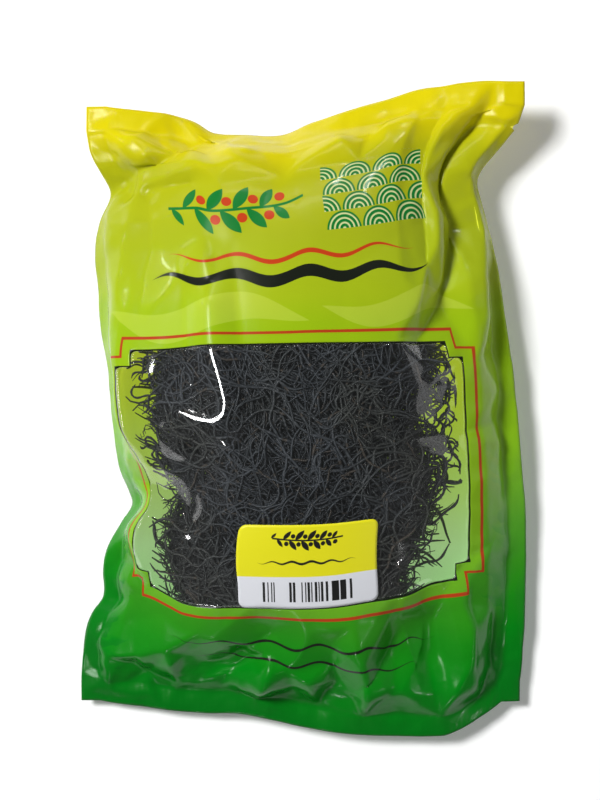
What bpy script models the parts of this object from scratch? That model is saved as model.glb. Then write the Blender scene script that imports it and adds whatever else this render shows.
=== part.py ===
"""A heat-sealed film packet of dried sargassum seaweed, lying on its back.

The packet is two webs of film sealed round all four sides: a printed front wall with a
clear window, and a back wall. A tangle of dried seaweed strands fills it, and a paper
label is stuck over the foot of the window. +X is the packet's right, +Y its top and +Z
its face. The tables below are in millimetres.
"""

import math
import random

import bmesh
import bpy
from mathutils import Vector

MM = 0.001

# The flat pouch. u runs across it and v along it, from its middle, before it is filled
HALF_WIDTH = 86.0
HALF_LENGTH = 120.0
SIDE_SEAL = 7.0
END_SEAL = 8.0
INNER_U = HALF_WIDTH - SIDE_SEAL
INNER_V = HALF_LENGTH - END_SEAL
FILM_THICK = 0.5
SEAL_GAP = 0.4

# The clear window in the front wall, with a square step cut out of each corner
WINDOW_U = 64.0
WINDOW_LOW = -72.0
WINDOW_HIGH = 20.0
WINDOW_STEP = 6.0
PANE_GAP = 0.4

# The paper label over the foot of the window
LABEL_U = (-23.0, 26.0)
LABEL_V = (WINDOW_LOW, WINDOW_LOW + 30.0)
LABEL_THICK = 0.35
LABEL_GAP = 0.3

# The lines of the film's mesh, which follow the seals, the window and the label
U_LINES = (-HALF_WIDTH, -INNER_U, -72, -WINDOW_U, -WINDOW_U + WINDOW_STEP, -46, -35, LABEL_U[0], -11, 1.5,
           14, LABEL_U[1], 37, 47, WINDOW_U - WINDOW_STEP, WINDOW_U, 72, INNER_U, HALF_WIDTH)
V_LINES = (-HALF_LENGTH, -INNER_V, -102, -92, -82, WINDOW_LOW, WINDOW_LOW + WINDOW_STEP, -57, -49.5,
           LABEL_V[1], -33, -24, -15, -6, 3, WINDOW_HIGH - WINDOW_STEP, WINDOW_HIGH, 30, 41, 52, 63, 74,
           85, 95, 104, INNER_V, HALF_LENGTH)

# The filled packet's plan, as (place, value) pairs, measured from PLAN_ZERO, which puts the
# packet's middle over the origin. The sides' inner seal lines are x at y
PLAN_ZERO = (2.18, 1.45)
LEFT_SEAM = ((-104, -76), (-87, -75), (-79, -74), (-74, -72), (-68, -68.3), (-59, -68.3), (-52, -67.2),
             (-41, -63), (-35, -60.3), (-30, -61.5), (-22, -64.7), (-7, -68), (2, -69), (14, -68.8),
             (28, -70.5), (42, -70.3), (57, -70.5), (65, -70), (70, -68.7), (77, -65.8), (82, -66.7),
             (91, -71), (103, -72.5))
RIGHT_SEAM = ((-107, 67), (-97, 69.4), (-88, 70.2), (-58, 71.5), (-35, 71.2), (-14, 69), (5, 67.7),
              (28, 64.7), (49, 61.8), (66, 58.4), (81, 55.2), (86.5, 56.6), (96, 63.7), (100.5, 66.8),
              (112, 70))
# The lines u = -WINDOW_U and u = WINDOW_U are x at y
LEFT_FRAME = ((-95, -62), (-62, -61), (-54, -61.6), (-46, -61), (-40, -59.5), (-34, -57.3), (-26, -58),
              (-20, -59.3), (-13.5, -61.3), (-7.6, -63.3), (3, -65.2), (14, -65.7), (22, -65.5),
              (50, -61), (70, -59), (95, -60))
RIGHT_FRAME = ((-95, 59), (-54, 56.2), (-32, 55.5), (-8, 54.6), (3, 53.6), (17, 52.2), (40, 51.5), (60, 49),
               (80, 45), (100, 48), (112, 56))
# The end seals' inner lines and the lines v = WINDOW_HIGH and v = WINDOW_LOW are y at u
TOP_SEAM = ((-79, 98.5), (-60, 96.8), (-46, 96.2), (-38, 95.4), (-31, 93.2), (-17, 93), (-3, 92.5), (6, 95.4),
            (17, 97.8), (26, 99.7), (35, 102), (46, 105), (58, 106), (70, 107.6), (79, 107.4))
BOTTOM_SEAM = ((-79, -98), (-63, -100), (-37, -102.6), (-23, -102.7), (-11, -104.9), (-2, -107), (9, -109),
               (25, -110.3), (50, -110.3), (57, -108.4), (66, -104.4), (79, -98.3))
FRAME_TOP = ((-64, 19.5), (-46, 19.8), (-30, 20.9), (3, 21.7), (30, 22.1), (64, 22.9))
FRAME_FOOT = ((-64, -61.5), (-57, -63), (-50, -65.5), (-43, -68), (-27, -69), (-2, -69.4), (10, -68.8),
              (24, -66.8), (38, -65.2), (48, -61.8), (64, -59.5))

# How far each seal band hangs down from level, in degrees: sides at y, ends at u
LEFT_DROOP = ((-97, 5), (-70, 25), (-50, 35), (-34, 60), (10, 65), (40, 45), (60, 35), (74, 50),
              (85, 15), (106, 5))
RIGHT_DROOP = ((-103, 10), (-60, 20), (0, 25), (50, 35), (80, 45), (90, 25), (113, 0))
TOP_DROOP = ((-79, 0), (-57, 8), (-45, 35), (-33, 58), (-8, 62), (5, 52), (20, 40), (40, 30), (60, 10),
             (79, 0))
BOTTOM_DROOP = ((-79, 4), (0, 12), (79, 4))

# How high the inner seal lines lie over the table: sides at v, ends at u
LEFT_HEIGHT = ((-112, 7), (-80, 10), (-60, 14), (-35, 17), (0, 18), (40, 20), (80, 22), (112, 24))
RIGHT_HEIGHT = ((-112, 8), (-60, 12), (0, 16), (60, 18), (90, 20), (112, 24))
TOP_HEIGHT = ((-79, 24), (-45, 25), (-20, 27), (20, 26), (50, 23), (79, 24))
BOTTOM_HEIGHT = ((-79, 7), (-40, 9), (0, 11), (40, 11), (79, 8))

# The cushion shape between the seals
CROWN = 32.0
ACROSS_ARC = math.radians(80)
ALONG_ARC = math.radians(80)
ACROSS_FULLNESS = 0.55
ALONG_FULLNESS = 0.55
BASE_REACH = 0.72
TOP_EASE = math.radians(72)
FOOT_EASE = math.radians(55)
FACE_EASE = math.radians(40)
SIDE_EASE = math.radians(60)

# The largest folds in the front wall: (u, v) to (u, v), half width, depth
FOLDS = (((-76, 74), (-40, 80), 12, -5.0),
         ((-72, -31), (-48, -38), 9, -3.5),
         ((-40, -106), (-12, -82), 12, -4.0),
         ((12, -108), (34, -84), 11, -3.5),
         ((60, 104), (50, 44), 11, -4.0),
         ((52, -100), (44, -78), 9, -2.5))

# The seaweed: an inner core, and strands that lie over it and stand out of it
CORE_MIDDLE = (-3.0, -4.0)
CORE_REACH = (50.0, 88.0)
CORE_SQUARENESS = 0.72
CORE_SPOKES = 36
CORE_RINGS = 9
CORE_LUMPS = 1.8
CORE_COVER = 8.0
CORE_FLOOR = 2.0
CORE_LEAST = 1.0
STRAND_RADIUS = 1.45
STRAND_STEP = 7.5
STRAND_ROOT = 1.6
STRAND_LIFT = (0.6, 6.0)
STRAND_REACH = (60.0, 98.0)
STRAND_SEED = 11
TOP_STRANDS = 72
UNDER_STRANDS = 5
RIM_STRANDS = 15

# Strands that stray from the tangle into the clear side of the window: start, heading, turns
STRAYS = (((46, 4), 35, (-10, -25, -60, -70, -60)),
          ((47, -6), 10, (30, -35, -70, -80)),
          ((45, -22), -10, (25, 30, -80, -75, -70)),
          ((44, -30), -5, (-30, -45, -50, -35, 10)),
          ((42, -46), -20, (35, 30, 5, -10)),
          ((44, -38), 25, (-40, -55, -45, -20)),
          ((-50, -12), 200, (35, 30, -10, -40)),
          ((-50, -56), 165, (25, -20, 15)),
          ((38, -58), -35, (-20, 40, 35)))

FILM_PRINT = (0.33, 0.58, 0.03)
FILM_BACK = (0.30, 0.55, 0.05)
WINDOW_CLEAR = (0.86, 0.92, 0.84)
LABEL_PAPER = (0.80, 0.77, 0.05)
WEED = (0.022, 0.026, 0.027)


def along(stations, place):
    """The value at a place on a smooth curve through (place, value) stations."""
    if place <= stations[0][0]:
        return float(stations[0][1])
    if place >= stations[-1][0]:
        return float(stations[-1][1])
    k = next(i for i in range(1, len(stations)) if place <= stations[i][0])
    before = stations[max(k - 2, 0)]
    start, end = stations[k - 1], stations[k]
    after = stations[min(k + 1, len(stations) - 1)]
    run = end[0] - start[0]
    t = (place - start[0]) / run
    lean_in = (end[1] - before[1]) / (end[0] - before[0]) * run
    lean_out = (after[1] - start[1]) / (after[0] - start[0]) * run
    return ((2 * t ** 3 - 3 * t ** 2 + 1) * start[1] + (t ** 3 - 2 * t ** 2 + t) * lean_in
            + (3 * t ** 2 - 2 * t ** 3) * end[1] + (t ** 3 - t ** 2) * lean_out)


def eased(share, angle):
    """A share of the way that slows towards its end, as a surface does that turns away."""
    return math.sin(share * angle) / math.sin(angle)


def arc(share, angle):
    """The height of an arc of that half angle, 1 at its middle and 0 from its ends on."""
    if share >= 1:
        return 0.0
    return (math.cos(share * angle) - math.cos(angle)) / (1 - math.cos(angle))


def cushion(u, v):
    """How full the packet is at a place: 0 at the seals and 1 in the middle."""
    across = arc(abs(u) / INNER_U, ACROSS_ARC) ** ACROSS_FULLNESS
    lengthwise = arc(abs(v) / INNER_V, ALONG_ARC) ** ALONG_FULLNESS
    return across * lengthwise


def seam_height(u, v):
    """The height of the level that the two walls part from, blended from the four seals."""
    a = (min(max(u, -INNER_U), INNER_U) + INNER_U) / (2 * INNER_U)
    b = (min(max(v, -INNER_V), INNER_V) + INNER_V) / (2 * INNER_V)
    sides = (1 - a) * along(LEFT_HEIGHT, v) + a * along(RIGHT_HEIGHT, v)
    ends = (1 - b) * along(BOTTOM_HEIGHT, u) + b * along(TOP_HEIGHT, u)
    corners = ((1 - a) * (1 - b) * LEFT_HEIGHT[0][1] + a * (1 - b) * RIGHT_HEIGHT[0][1]
               + (1 - a) * b * LEFT_HEIGHT[-1][1] + a * b * RIGHT_HEIGHT[-1][1])
    return sides + ends - corners


def plan(u, v):
    """Where a place on the film lies over the table, and how far its seal band hangs down."""
    top, foot = along(FRAME_TOP, u), along(FRAME_FOOT, u)
    if v > WINDOW_HIGH:
        share = min((v - WINDOW_HIGH) / (INNER_V - WINDOW_HIGH), 1)
        y = top + (along(TOP_SEAM, u) - top) * eased(share, TOP_EASE)
    elif v < WINDOW_LOW:
        share = min((WINDOW_LOW - v) / (WINDOW_LOW + INNER_V), 1)
        y = foot + (along(BOTTOM_SEAM, u) - foot) * eased(share, FOOT_EASE)
    else:
        y = foot + (top - foot) * (v - WINDOW_LOW) / (WINDOW_HIGH - WINDOW_LOW)
    left, right = along(LEFT_FRAME, y), along(RIGHT_FRAME, y)
    share = (min(abs(u), INNER_U) - WINDOW_U) / (INNER_U - WINDOW_U)
    if u > WINDOW_U:
        x = right + (along(RIGHT_SEAM, y) - right) * eased(share, SIDE_EASE)
    elif u < -WINDOW_U:
        x = left + (along(LEFT_SEAM, y) - left) * eased(share, SIDE_EASE)
    else:
        x = (left + right) / 2 + (right - left) / 2 * eased(u / WINDOW_U, FACE_EASE)
    band_x, band_y = max(abs(u) - INNER_U, 0), max(abs(v) - INNER_V, 0)
    side_angle = math.radians(along(RIGHT_DROOP if u > 0 else LEFT_DROOP, y))
    end_angle = math.radians(along(TOP_DROOP if v > 0 else BOTTOM_DROOP, u))
    x += math.copysign(band_x * math.cos(side_angle), u)
    y += math.copysign(band_y * math.cos(end_angle), v)
    hang = band_x * math.sin(side_angle) + band_y * math.sin(end_angle)
    return x + PLAN_ZERO[0], y + PLAN_ZERO[1], hang


def fold_depth(u, v):
    """How far the folds push the front wall in or out at a place."""
    if abs(u) > INNER_U or abs(v) > INNER_V:
        return 0.0
    total = 0.0
    for (u0, v0), (u1, v1), half_width, depth in FOLDS:
        run_u, run_v = u1 - u0, v1 - v0
        share = ((u - u0) * run_u + (v - v0) * run_v) / (run_u ** 2 + run_v ** 2)
        share = min(max(share, 0), 1)
        away = math.hypot(u - u0 - share * run_u, v - v0 - share * run_v)
        total += depth * max(1 - away / half_width, 0)
    return total


def middle(u, v):
    """A point on the level that the two walls part from."""
    x, y, hang = plan(u, v)
    return Vector((x, y, seam_height(u, v) - hang))


def parting(u, v):
    """From the middle level to the outside of a sealed wall, along the seal's own normal."""
    return outward(middle, u, v) * (SEAL_GAP / 2 + FILM_THICK)


def front(u, v):
    """A point on the outside of the front wall."""
    point = middle(u, v) + parting(u, v)
    fullness = cushion(u, v)
    point.z += CROWN * fullness + fold_depth(u, v) * min(1, 3 * fullness)
    return point


def back(u, v):
    """A point on the outside of the back wall, which lies flat on the table in the middle."""
    point = middle(u, v) - parting(u, v)
    point.z *= max(1 - cushion(u, v) / BASE_REACH, 0) ** 1.4
    return point


def outward(surface, u, v, step=0.5):
    """The unit normal of a surface function, pointing to +Z's side."""
    across = surface(u + step, v) - surface(u - step, v)
    lengthwise = surface(u, v + step) - surface(u, v - step)
    return across.cross(lengthwise).normalized()


def in_window(u, v):
    """Whether a place on the front wall is in the clear window."""
    if abs(u) > WINDOW_U or not WINDOW_LOW < v < WINDOW_HIGH:
        return False
    in_step = v > WINDOW_HIGH - WINDOW_STEP or v < WINDOW_LOW + WINDOW_STEP
    return abs(u) < WINDOW_U - WINDOW_STEP or not in_step


def pane_point(u, v):
    """A point on the window pane, whose edge stands a little in from the printed film's."""
    in_step = v >= WINDOW_HIGH - WINDOW_STEP or v <= WINDOW_LOW + WINDOW_STEP
    if abs(u) == WINDOW_U or (abs(u) == WINDOW_U - WINDOW_STEP and in_step):
        u -= math.copysign(PANE_GAP, u)
    in_notch = abs(u) > WINDOW_U - WINDOW_STEP - 2 * PANE_GAP
    if v == WINDOW_HIGH or (v == WINDOW_HIGH - WINDOW_STEP and in_notch):
        v -= PANE_GAP
    elif v == WINDOW_LOW or (v == WINDOW_LOW + WINDOW_STEP and in_notch):
        v += PANE_GAP
    return front(u, v)


def label_point(u, v):
    """A point on the label's glued side, just off the front wall."""
    return front(u, v) + outward(front, u, v) * LABEL_GAP


def material(name, colour, roughness, alpha=1.0):
    """A Principled material."""
    made = bpy.data.materials.new(name)
    made.use_nodes = True
    shader = made.node_tree.nodes["Principled BSDF"]
    shader.inputs["Base Color"].default_value = (*colour, 1)
    shader.inputs["Roughness"].default_value = roughness
    shader.inputs["Metallic"].default_value = 0.0
    shader.inputs["Alpha"].default_value = alpha
    made.diffuse_color = (*colour, alpha)
    return made


def add_object(name, points, faces, finish):
    """An object with that mesh, whose points are in millimetres."""
    mesh = bpy.data.meshes.new(name)
    mesh.from_pydata([Vector(p) * MM for p in points], [], faces)
    mesh.materials.append(finish)
    made = bpy.data.objects.new(name, mesh)
    bpy.context.scene.collection.objects.link(made)
    return made


def sheet(name, place, keeps, thick, faces_up, finish):
    """A thin wall over the cells of the film's mesh that keeps() accepts, all split alike."""
    points, faces, index = [], [], {}

    def corner(u, v):
        if (u, v) not in index:
            index[u, v] = len(points)
            points.append(place(u, v))
        return index[u, v]

    for u0, u1 in zip(U_LINES, U_LINES[1:]):
        for v0, v1 in zip(V_LINES, V_LINES[1:]):
            if keeps((u0 + u1) / 2, (v0 + v1) / 2):
                a, b, c, d = corner(u0, v0), corner(u1, v0), corner(u1, v1), corner(u0, v1)
                for face in ((a, b, c), (a, c, d)):
                    faces.append(face if faces_up else face[::-1])
    made = add_object(name, points, faces, finish)
    wall = made.modifiers.new("thickness", "SOLIDIFY")
    wall.thickness = thick * MM
    wall.offset = 1.0 if name == "label" else -1.0
    made.data.shade_smooth()
    return made


def core_outline(angle):
    """The edge of the seaweed's core, in film coordinates from its middle."""
    c, s = math.cos(angle), math.sin(angle)
    ragged = 1 + 0.035 * math.sin(5 * angle + 1) + 0.03 * math.sin(9 * angle)
    return (CORE_REACH[0] * ragged * math.copysign(abs(c) ** CORE_SQUARENESS, c),
            CORE_REACH[1] * ragged * math.copysign(abs(s) ** CORE_SQUARENESS, s))


def core_share(u, v):
    """How far out from the core's middle a place is: 0 there and 1 at its edge."""
    du, dv = u - CORE_MIDDLE[0], v - CORE_MIDDLE[1]
    power = 2 / CORE_SQUARENESS
    return (abs(du / CORE_REACH[0]) ** power + abs(dv / CORE_REACH[1]) ** power) ** (1 / power)


def core_levels(u, v, share):
    """The heights of the core's top and underside at a place."""
    top = front(u, v).z - FILM_THICK - CORE_COVER
    low = back(u, v).z + FILM_THICK + CORE_FLOOR
    level, half = (top + low) / 2, max((top - low) / 2, CORE_LEAST / 2)
    swell = math.sqrt(max(1 - min(share, 1) ** 4, 0))
    across = math.sin(u / 3.1 + 1.7 * math.sin(v / 7))
    lengthwise = math.sin(v / 3.4 + 1.7 * math.sin(u / 6))
    return level + (half + CORE_LUMPS * across * lengthwise) * swell, level - half * swell


def add_core(finish):
    """The seaweed's inner core: a lumpy cushion that follows the packet's two walls."""
    points, faces = [], []
    for side in (0, 1):
        u, v = CORE_MIDDLE
        points.append((*plan(u, v)[:2], core_levels(u, v, 0)[side]))
    rings = {}
    for ring in range(1, CORE_RINGS + 1):
        share = math.sin(ring / CORE_RINGS * math.pi / 2)
        for side in (0, 1):
            if ring == CORE_RINGS and side:
                rings[ring, 1] = rings[ring, 0]
                continue
            row = []
            for k in range(CORE_SPOKES):
                du, dv = core_outline(2 * math.pi * k / CORE_SPOKES)
                u, v = CORE_MIDDLE[0] + du * share, CORE_MIDDLE[1] + dv * share
                row.append(len(points))
                points.append((*plan(u, v)[:2], core_levels(u, v, share)[side]))
            rings[ring, side] = row
    for side in (0, 1):
        for k in range(CORE_SPOKES):
            nxt = (k + 1) % CORE_SPOKES
            fan = [side, rings[1, side][k], rings[1, side][nxt]]
            faces.append(fan[::-1] if side else fan)
            for ring in range(1, CORE_RINGS):
                inner, outer = rings[ring, side], rings[ring + 1, side]
                quad = [inner[k], outer[k], outer[nxt], inner[nxt]]
                faces.append(quad[::-1] if side else quad)
    return add_object("seaweed_tangle", points, faces, finish)


def add_tube(name, path, radius, finish):
    """A three-sided strand along a path, slimmer at both ends."""
    points, faces = [], []
    last = len(path) - 1
    side = Vector((0, 0, 1))
    for i, here in enumerate(path):
        run = (path[min(i + 1, last)] - path[max(i - 1, 0)]).normalized()
        side = (side - run * side.dot(run)).normalized()
        other = run.cross(side)
        size = radius * (0.55 if i in (0, last) else 1.0)
        for k in range(3):
            turn = 2 * math.pi * k / 3
            points.append(here + (side * math.cos(turn) + other * math.sin(turn)) * size)
    for i in range(last):
        for k in range(3):
            a, b = 3 * i + k, 3 * i + (k + 1) % 3
            faces.append([a, b, b + 3, a + 3])
    faces.append([2, 1, 0])
    faces.append([3 * last, 3 * last + 1, 3 * last + 2])
    return add_object(name, points, faces, finish)


def strand_path(u, v, heading, turns, lift, rooted=2):
    """A strand that arches over the core and wanders by its turns, in degrees for each step.

    It is rooted in the core at its start or at both ends, and ends where the packet grows too
    thin for it. One with no lift hugs the underside.
    """
    path = []
    keep_off = FILM_THICK + 1.9 * STRAND_RADIUS
    for i in range(len(turns) + 1):
        ceiling, floor = front(u, v).z - keep_off, back(u, v).z + keep_off
        if abs(u) > STRAND_REACH[0] or abs(v) > STRAND_REACH[1] or ceiling < floor:
            break
        top, low = core_levels(u, v, core_share(u, v))
        x, y, _ = plan(u, v)
        bow = math.sin(math.pi * i / len(turns) * rooted / 2)
        z = top - STRAND_ROOT + (STRAND_ROOT + lift) * bow if lift else low
        path.append(Vector((x, y, min(max(z, floor), ceiling))))
        if i < len(turns):
            heading += math.radians(turns[i])
            u += STRAND_STEP * math.cos(heading)
            v += STRAND_STEP * math.sin(heading)
    return path


def curl(rng, steps):
    """The turns of one curly strand, which bends mostly one way."""
    bias = rng.uniform(-22, 22)
    return [bias + rng.uniform(-24, 24) for _ in range(steps)]


def add_seaweed(finish):
    """The tangle: strands laid over the core by a seeded rule, and joined to it."""
    rng = random.Random(STRAND_SEED)
    core = add_core(finish)
    paths = []
    for k in range(TOP_STRANDS + UNDER_STRANDS):
        spread = math.sqrt((k % TOP_STRANDS + 0.5) / TOP_STRANDS) * 0.95
        du, dv = core_outline(k * 2.39996)
        u, v = CORE_MIDDLE[0] + du * spread, CORE_MIDDLE[1] + dv * spread
        heading = rng.uniform(0, 2 * math.pi)
        lift = rng.uniform(*STRAND_LIFT) if k < TOP_STRANDS else 0
        paths.append(strand_path(u, v, heading, curl(rng, 6), lift))
    for k in range(RIM_STRANDS):
        angle = 2 * math.pi * (k + rng.uniform(-0.3, 0.3)) / RIM_STRANDS
        du, dv = core_outline(angle)
        u, v = CORE_MIDDLE[0] + du * 0.9, CORE_MIDDLE[1] + dv * 0.92
        heading = math.atan2(dv, du) + rng.uniform(-0.9, 0.9)
        paths.append(strand_path(u, v, heading, curl(rng, 3), 2.0, rooted=1))
    for (u, v), heading, turns in STRAYS:
        paths.append(strand_path(u, v, math.radians(heading), turns, 1.0, rooted=1))

    strands = bpy.data.collections.new("strands")
    bpy.context.scene.collection.children.link(strands)
    for k, path in enumerate(paths):
        tube = add_tube(f"strand_{k}", path, STRAND_RADIUS, finish)
        bpy.context.scene.collection.objects.unlink(tube)
        strands.objects.link(tube)
    join = core.modifiers.new("strands", "BOOLEAN")
    join.operation = "UNION"
    join.operand_type = "COLLECTION"
    join.collection = strands
    join.solver = "MANIFOLD"
    graph = bpy.context.evaluated_depsgraph_get()
    joined = bpy.data.meshes.new_from_object(core.evaluated_get(graph))
    core.modifiers.clear()
    core.data = joined
    for tube in list(strands.objects):
        bpy.data.objects.remove(tube)
    bpy.data.collections.remove(strands)
    keep_largest_body(joined)
    return core


def keep_largest_body(mesh):
    """Drops scraps that the join left loose."""
    shape = bmesh.new()
    shape.from_mesh(mesh)
    unseen, bodies = set(shape.verts), []
    while unseen:
        body, edge = set(), [unseen.pop()]
        while edge:
            vert = edge.pop()
            body.add(vert)
            for other in (e.other_vert(vert) for e in vert.link_edges):
                if other in unseen:
                    unseen.discard(other)
                    edge.append(other)
        bodies.append(body)
    bodies.sort(key=len)
    for body in bodies[:-1]:
        bmesh.ops.delete(shape, geom=list(body), context="VERTS")
    bmesh.ops.triangulate(shape, faces=shape.faces)
    shape.to_mesh(mesh)
    shape.free()


def main():
    for old in list(bpy.data.objects):
        bpy.data.objects.remove(old)
    printed = material("printed_film", FILM_PRINT, 0.25)
    plain = material("back_film", FILM_BACK, 0.28)
    clear = material("window_film", WINDOW_CLEAR, 0.08, alpha=0.18)
    paper = material("label_paper", LABEL_PAPER, 0.45)
    weed = material("dried_seaweed", WEED, 0.6)

    def whole(u, v):
        return True

    def outside_window(u, v):
        return not in_window(u, v)

    def under_label(u, v):
        return LABEL_U[0] < u < LABEL_U[1] and LABEL_V[0] < v < LABEL_V[1]

    sheet("front_film", front, outside_window, FILM_THICK, True, printed)
    sheet("window_film", pane_point, in_window, FILM_THICK, True, clear)
    sheet("back_film", back, whole, FILM_THICK, False, plain)
    sheet("label", label_point, under_label, LABEL_THICK, True, paper)
    add_seaweed(weed)


main()
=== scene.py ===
"""The looks of a heat-sealed film packet of dried sargassum seaweed, lying on its back.

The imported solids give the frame. Here the film is remade as one thin web with its creases, print
and clear window, the tangle as some thousands of fine strands, and the label as coated paper.
Places on the film are (u, v) in millimetres on the flat packet, from its middle. Lengths are in
millimetres until a mesh is made.
"""

from __future__ import annotations

import logging
import math
from dataclasses import dataclass, field
from enum import Enum

import bpy
import numpy as np
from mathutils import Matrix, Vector, geometry

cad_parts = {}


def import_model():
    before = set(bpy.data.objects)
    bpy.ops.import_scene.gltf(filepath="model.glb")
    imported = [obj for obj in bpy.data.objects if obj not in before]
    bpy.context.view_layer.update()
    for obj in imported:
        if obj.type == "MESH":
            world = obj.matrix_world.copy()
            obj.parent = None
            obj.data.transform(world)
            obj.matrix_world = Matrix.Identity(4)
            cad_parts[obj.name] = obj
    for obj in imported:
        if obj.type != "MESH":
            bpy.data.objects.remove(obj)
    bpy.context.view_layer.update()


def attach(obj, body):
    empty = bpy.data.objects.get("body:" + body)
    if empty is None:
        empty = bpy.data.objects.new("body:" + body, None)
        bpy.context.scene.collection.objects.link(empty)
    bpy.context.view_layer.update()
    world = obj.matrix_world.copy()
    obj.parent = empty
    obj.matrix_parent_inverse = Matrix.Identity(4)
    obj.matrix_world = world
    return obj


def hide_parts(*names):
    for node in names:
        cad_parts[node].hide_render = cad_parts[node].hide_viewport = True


LOG = logging.getLogger("seaweed_packet")
MM = 0.001
BODY = "root"
FLAT_UV = "flat"
CLOSE = 1e-6

Stations = tuple[tuple[float, float], ...]
Places = tuple[tuple[float, float], ...]
Colour = tuple[float, float, float]
Shades = tuple[tuple[float, Colour], ...]
Array = np.ndarray


def screen(red: float, green: float, blue: float) -> Colour:
    """Turns a colour as a screen shows it, 0 to 255, into a linear one.

    Args:
        red: The red value.
        green: The green value.
        blue: The blue value.

    Returns:
        The linear colour.
    """
    shares = (red / 255, green / 255, blue / 255)
    return tuple(c / 12.92 if c <= 0.04045 else ((c + 0.055) / 1.055) ** 2.4 for c in shares)


class Value:
    """A shader socket that takes part in expressions. Each operator adds a Math node."""

    def __init__(self, net: Net, socket: bpy.types.NodeSocket) -> None:
        """Wraps a socket of a net."""
        self.net = net
        self.socket = socket

    def __add__(self, other: Term) -> Value:
        """The sum."""
        return self.net.math("ADD", self, other)

    __radd__ = __add__

    def __sub__(self, other: Term) -> Value:
        """The difference."""
        return self.net.math("SUBTRACT", self, other)

    def __rsub__(self, other: Term) -> Value:
        """The difference, the other way round."""
        return self.net.math("SUBTRACT", other, self)

    def __mul__(self, other: Term) -> Value:
        """The product."""
        return self.net.math("MULTIPLY", self, other)

    __rmul__ = __mul__

    def __truediv__(self, other: Term) -> Value:
        """The quotient."""
        return self.net.math("DIVIDE", self, other)

    def __mod__(self, other: Term) -> Value:
        """The remainder, never below 0."""
        return self.net.math("FLOORED_MODULO", self, other)

    def __lt__(self, other: Term) -> Value:
        """1 where this is less, and else 0."""
        return self.net.math("LESS_THAN", self, other)

    def __abs__(self) -> Value:
        """The size without its sign."""
        return self.net.math("ABSOLUTE", self)

    def below(self, limit: float, soft: float = 0.12) -> Value:
        """A mask, 1 where this is under a limit; soft is half the width of its edge."""
        return 1 - self.net.smooth(self, limit - soft, limit + soft)

    def between(self, low: float, high: float, soft: float = 0.12) -> Value:
        """A mask, 1 where this is between two limits; soft is half the width of each edge."""
        return self.net.smooth(self, low - soft, low + soft) * self.below(high, soft)


Term = Value | float


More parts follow.
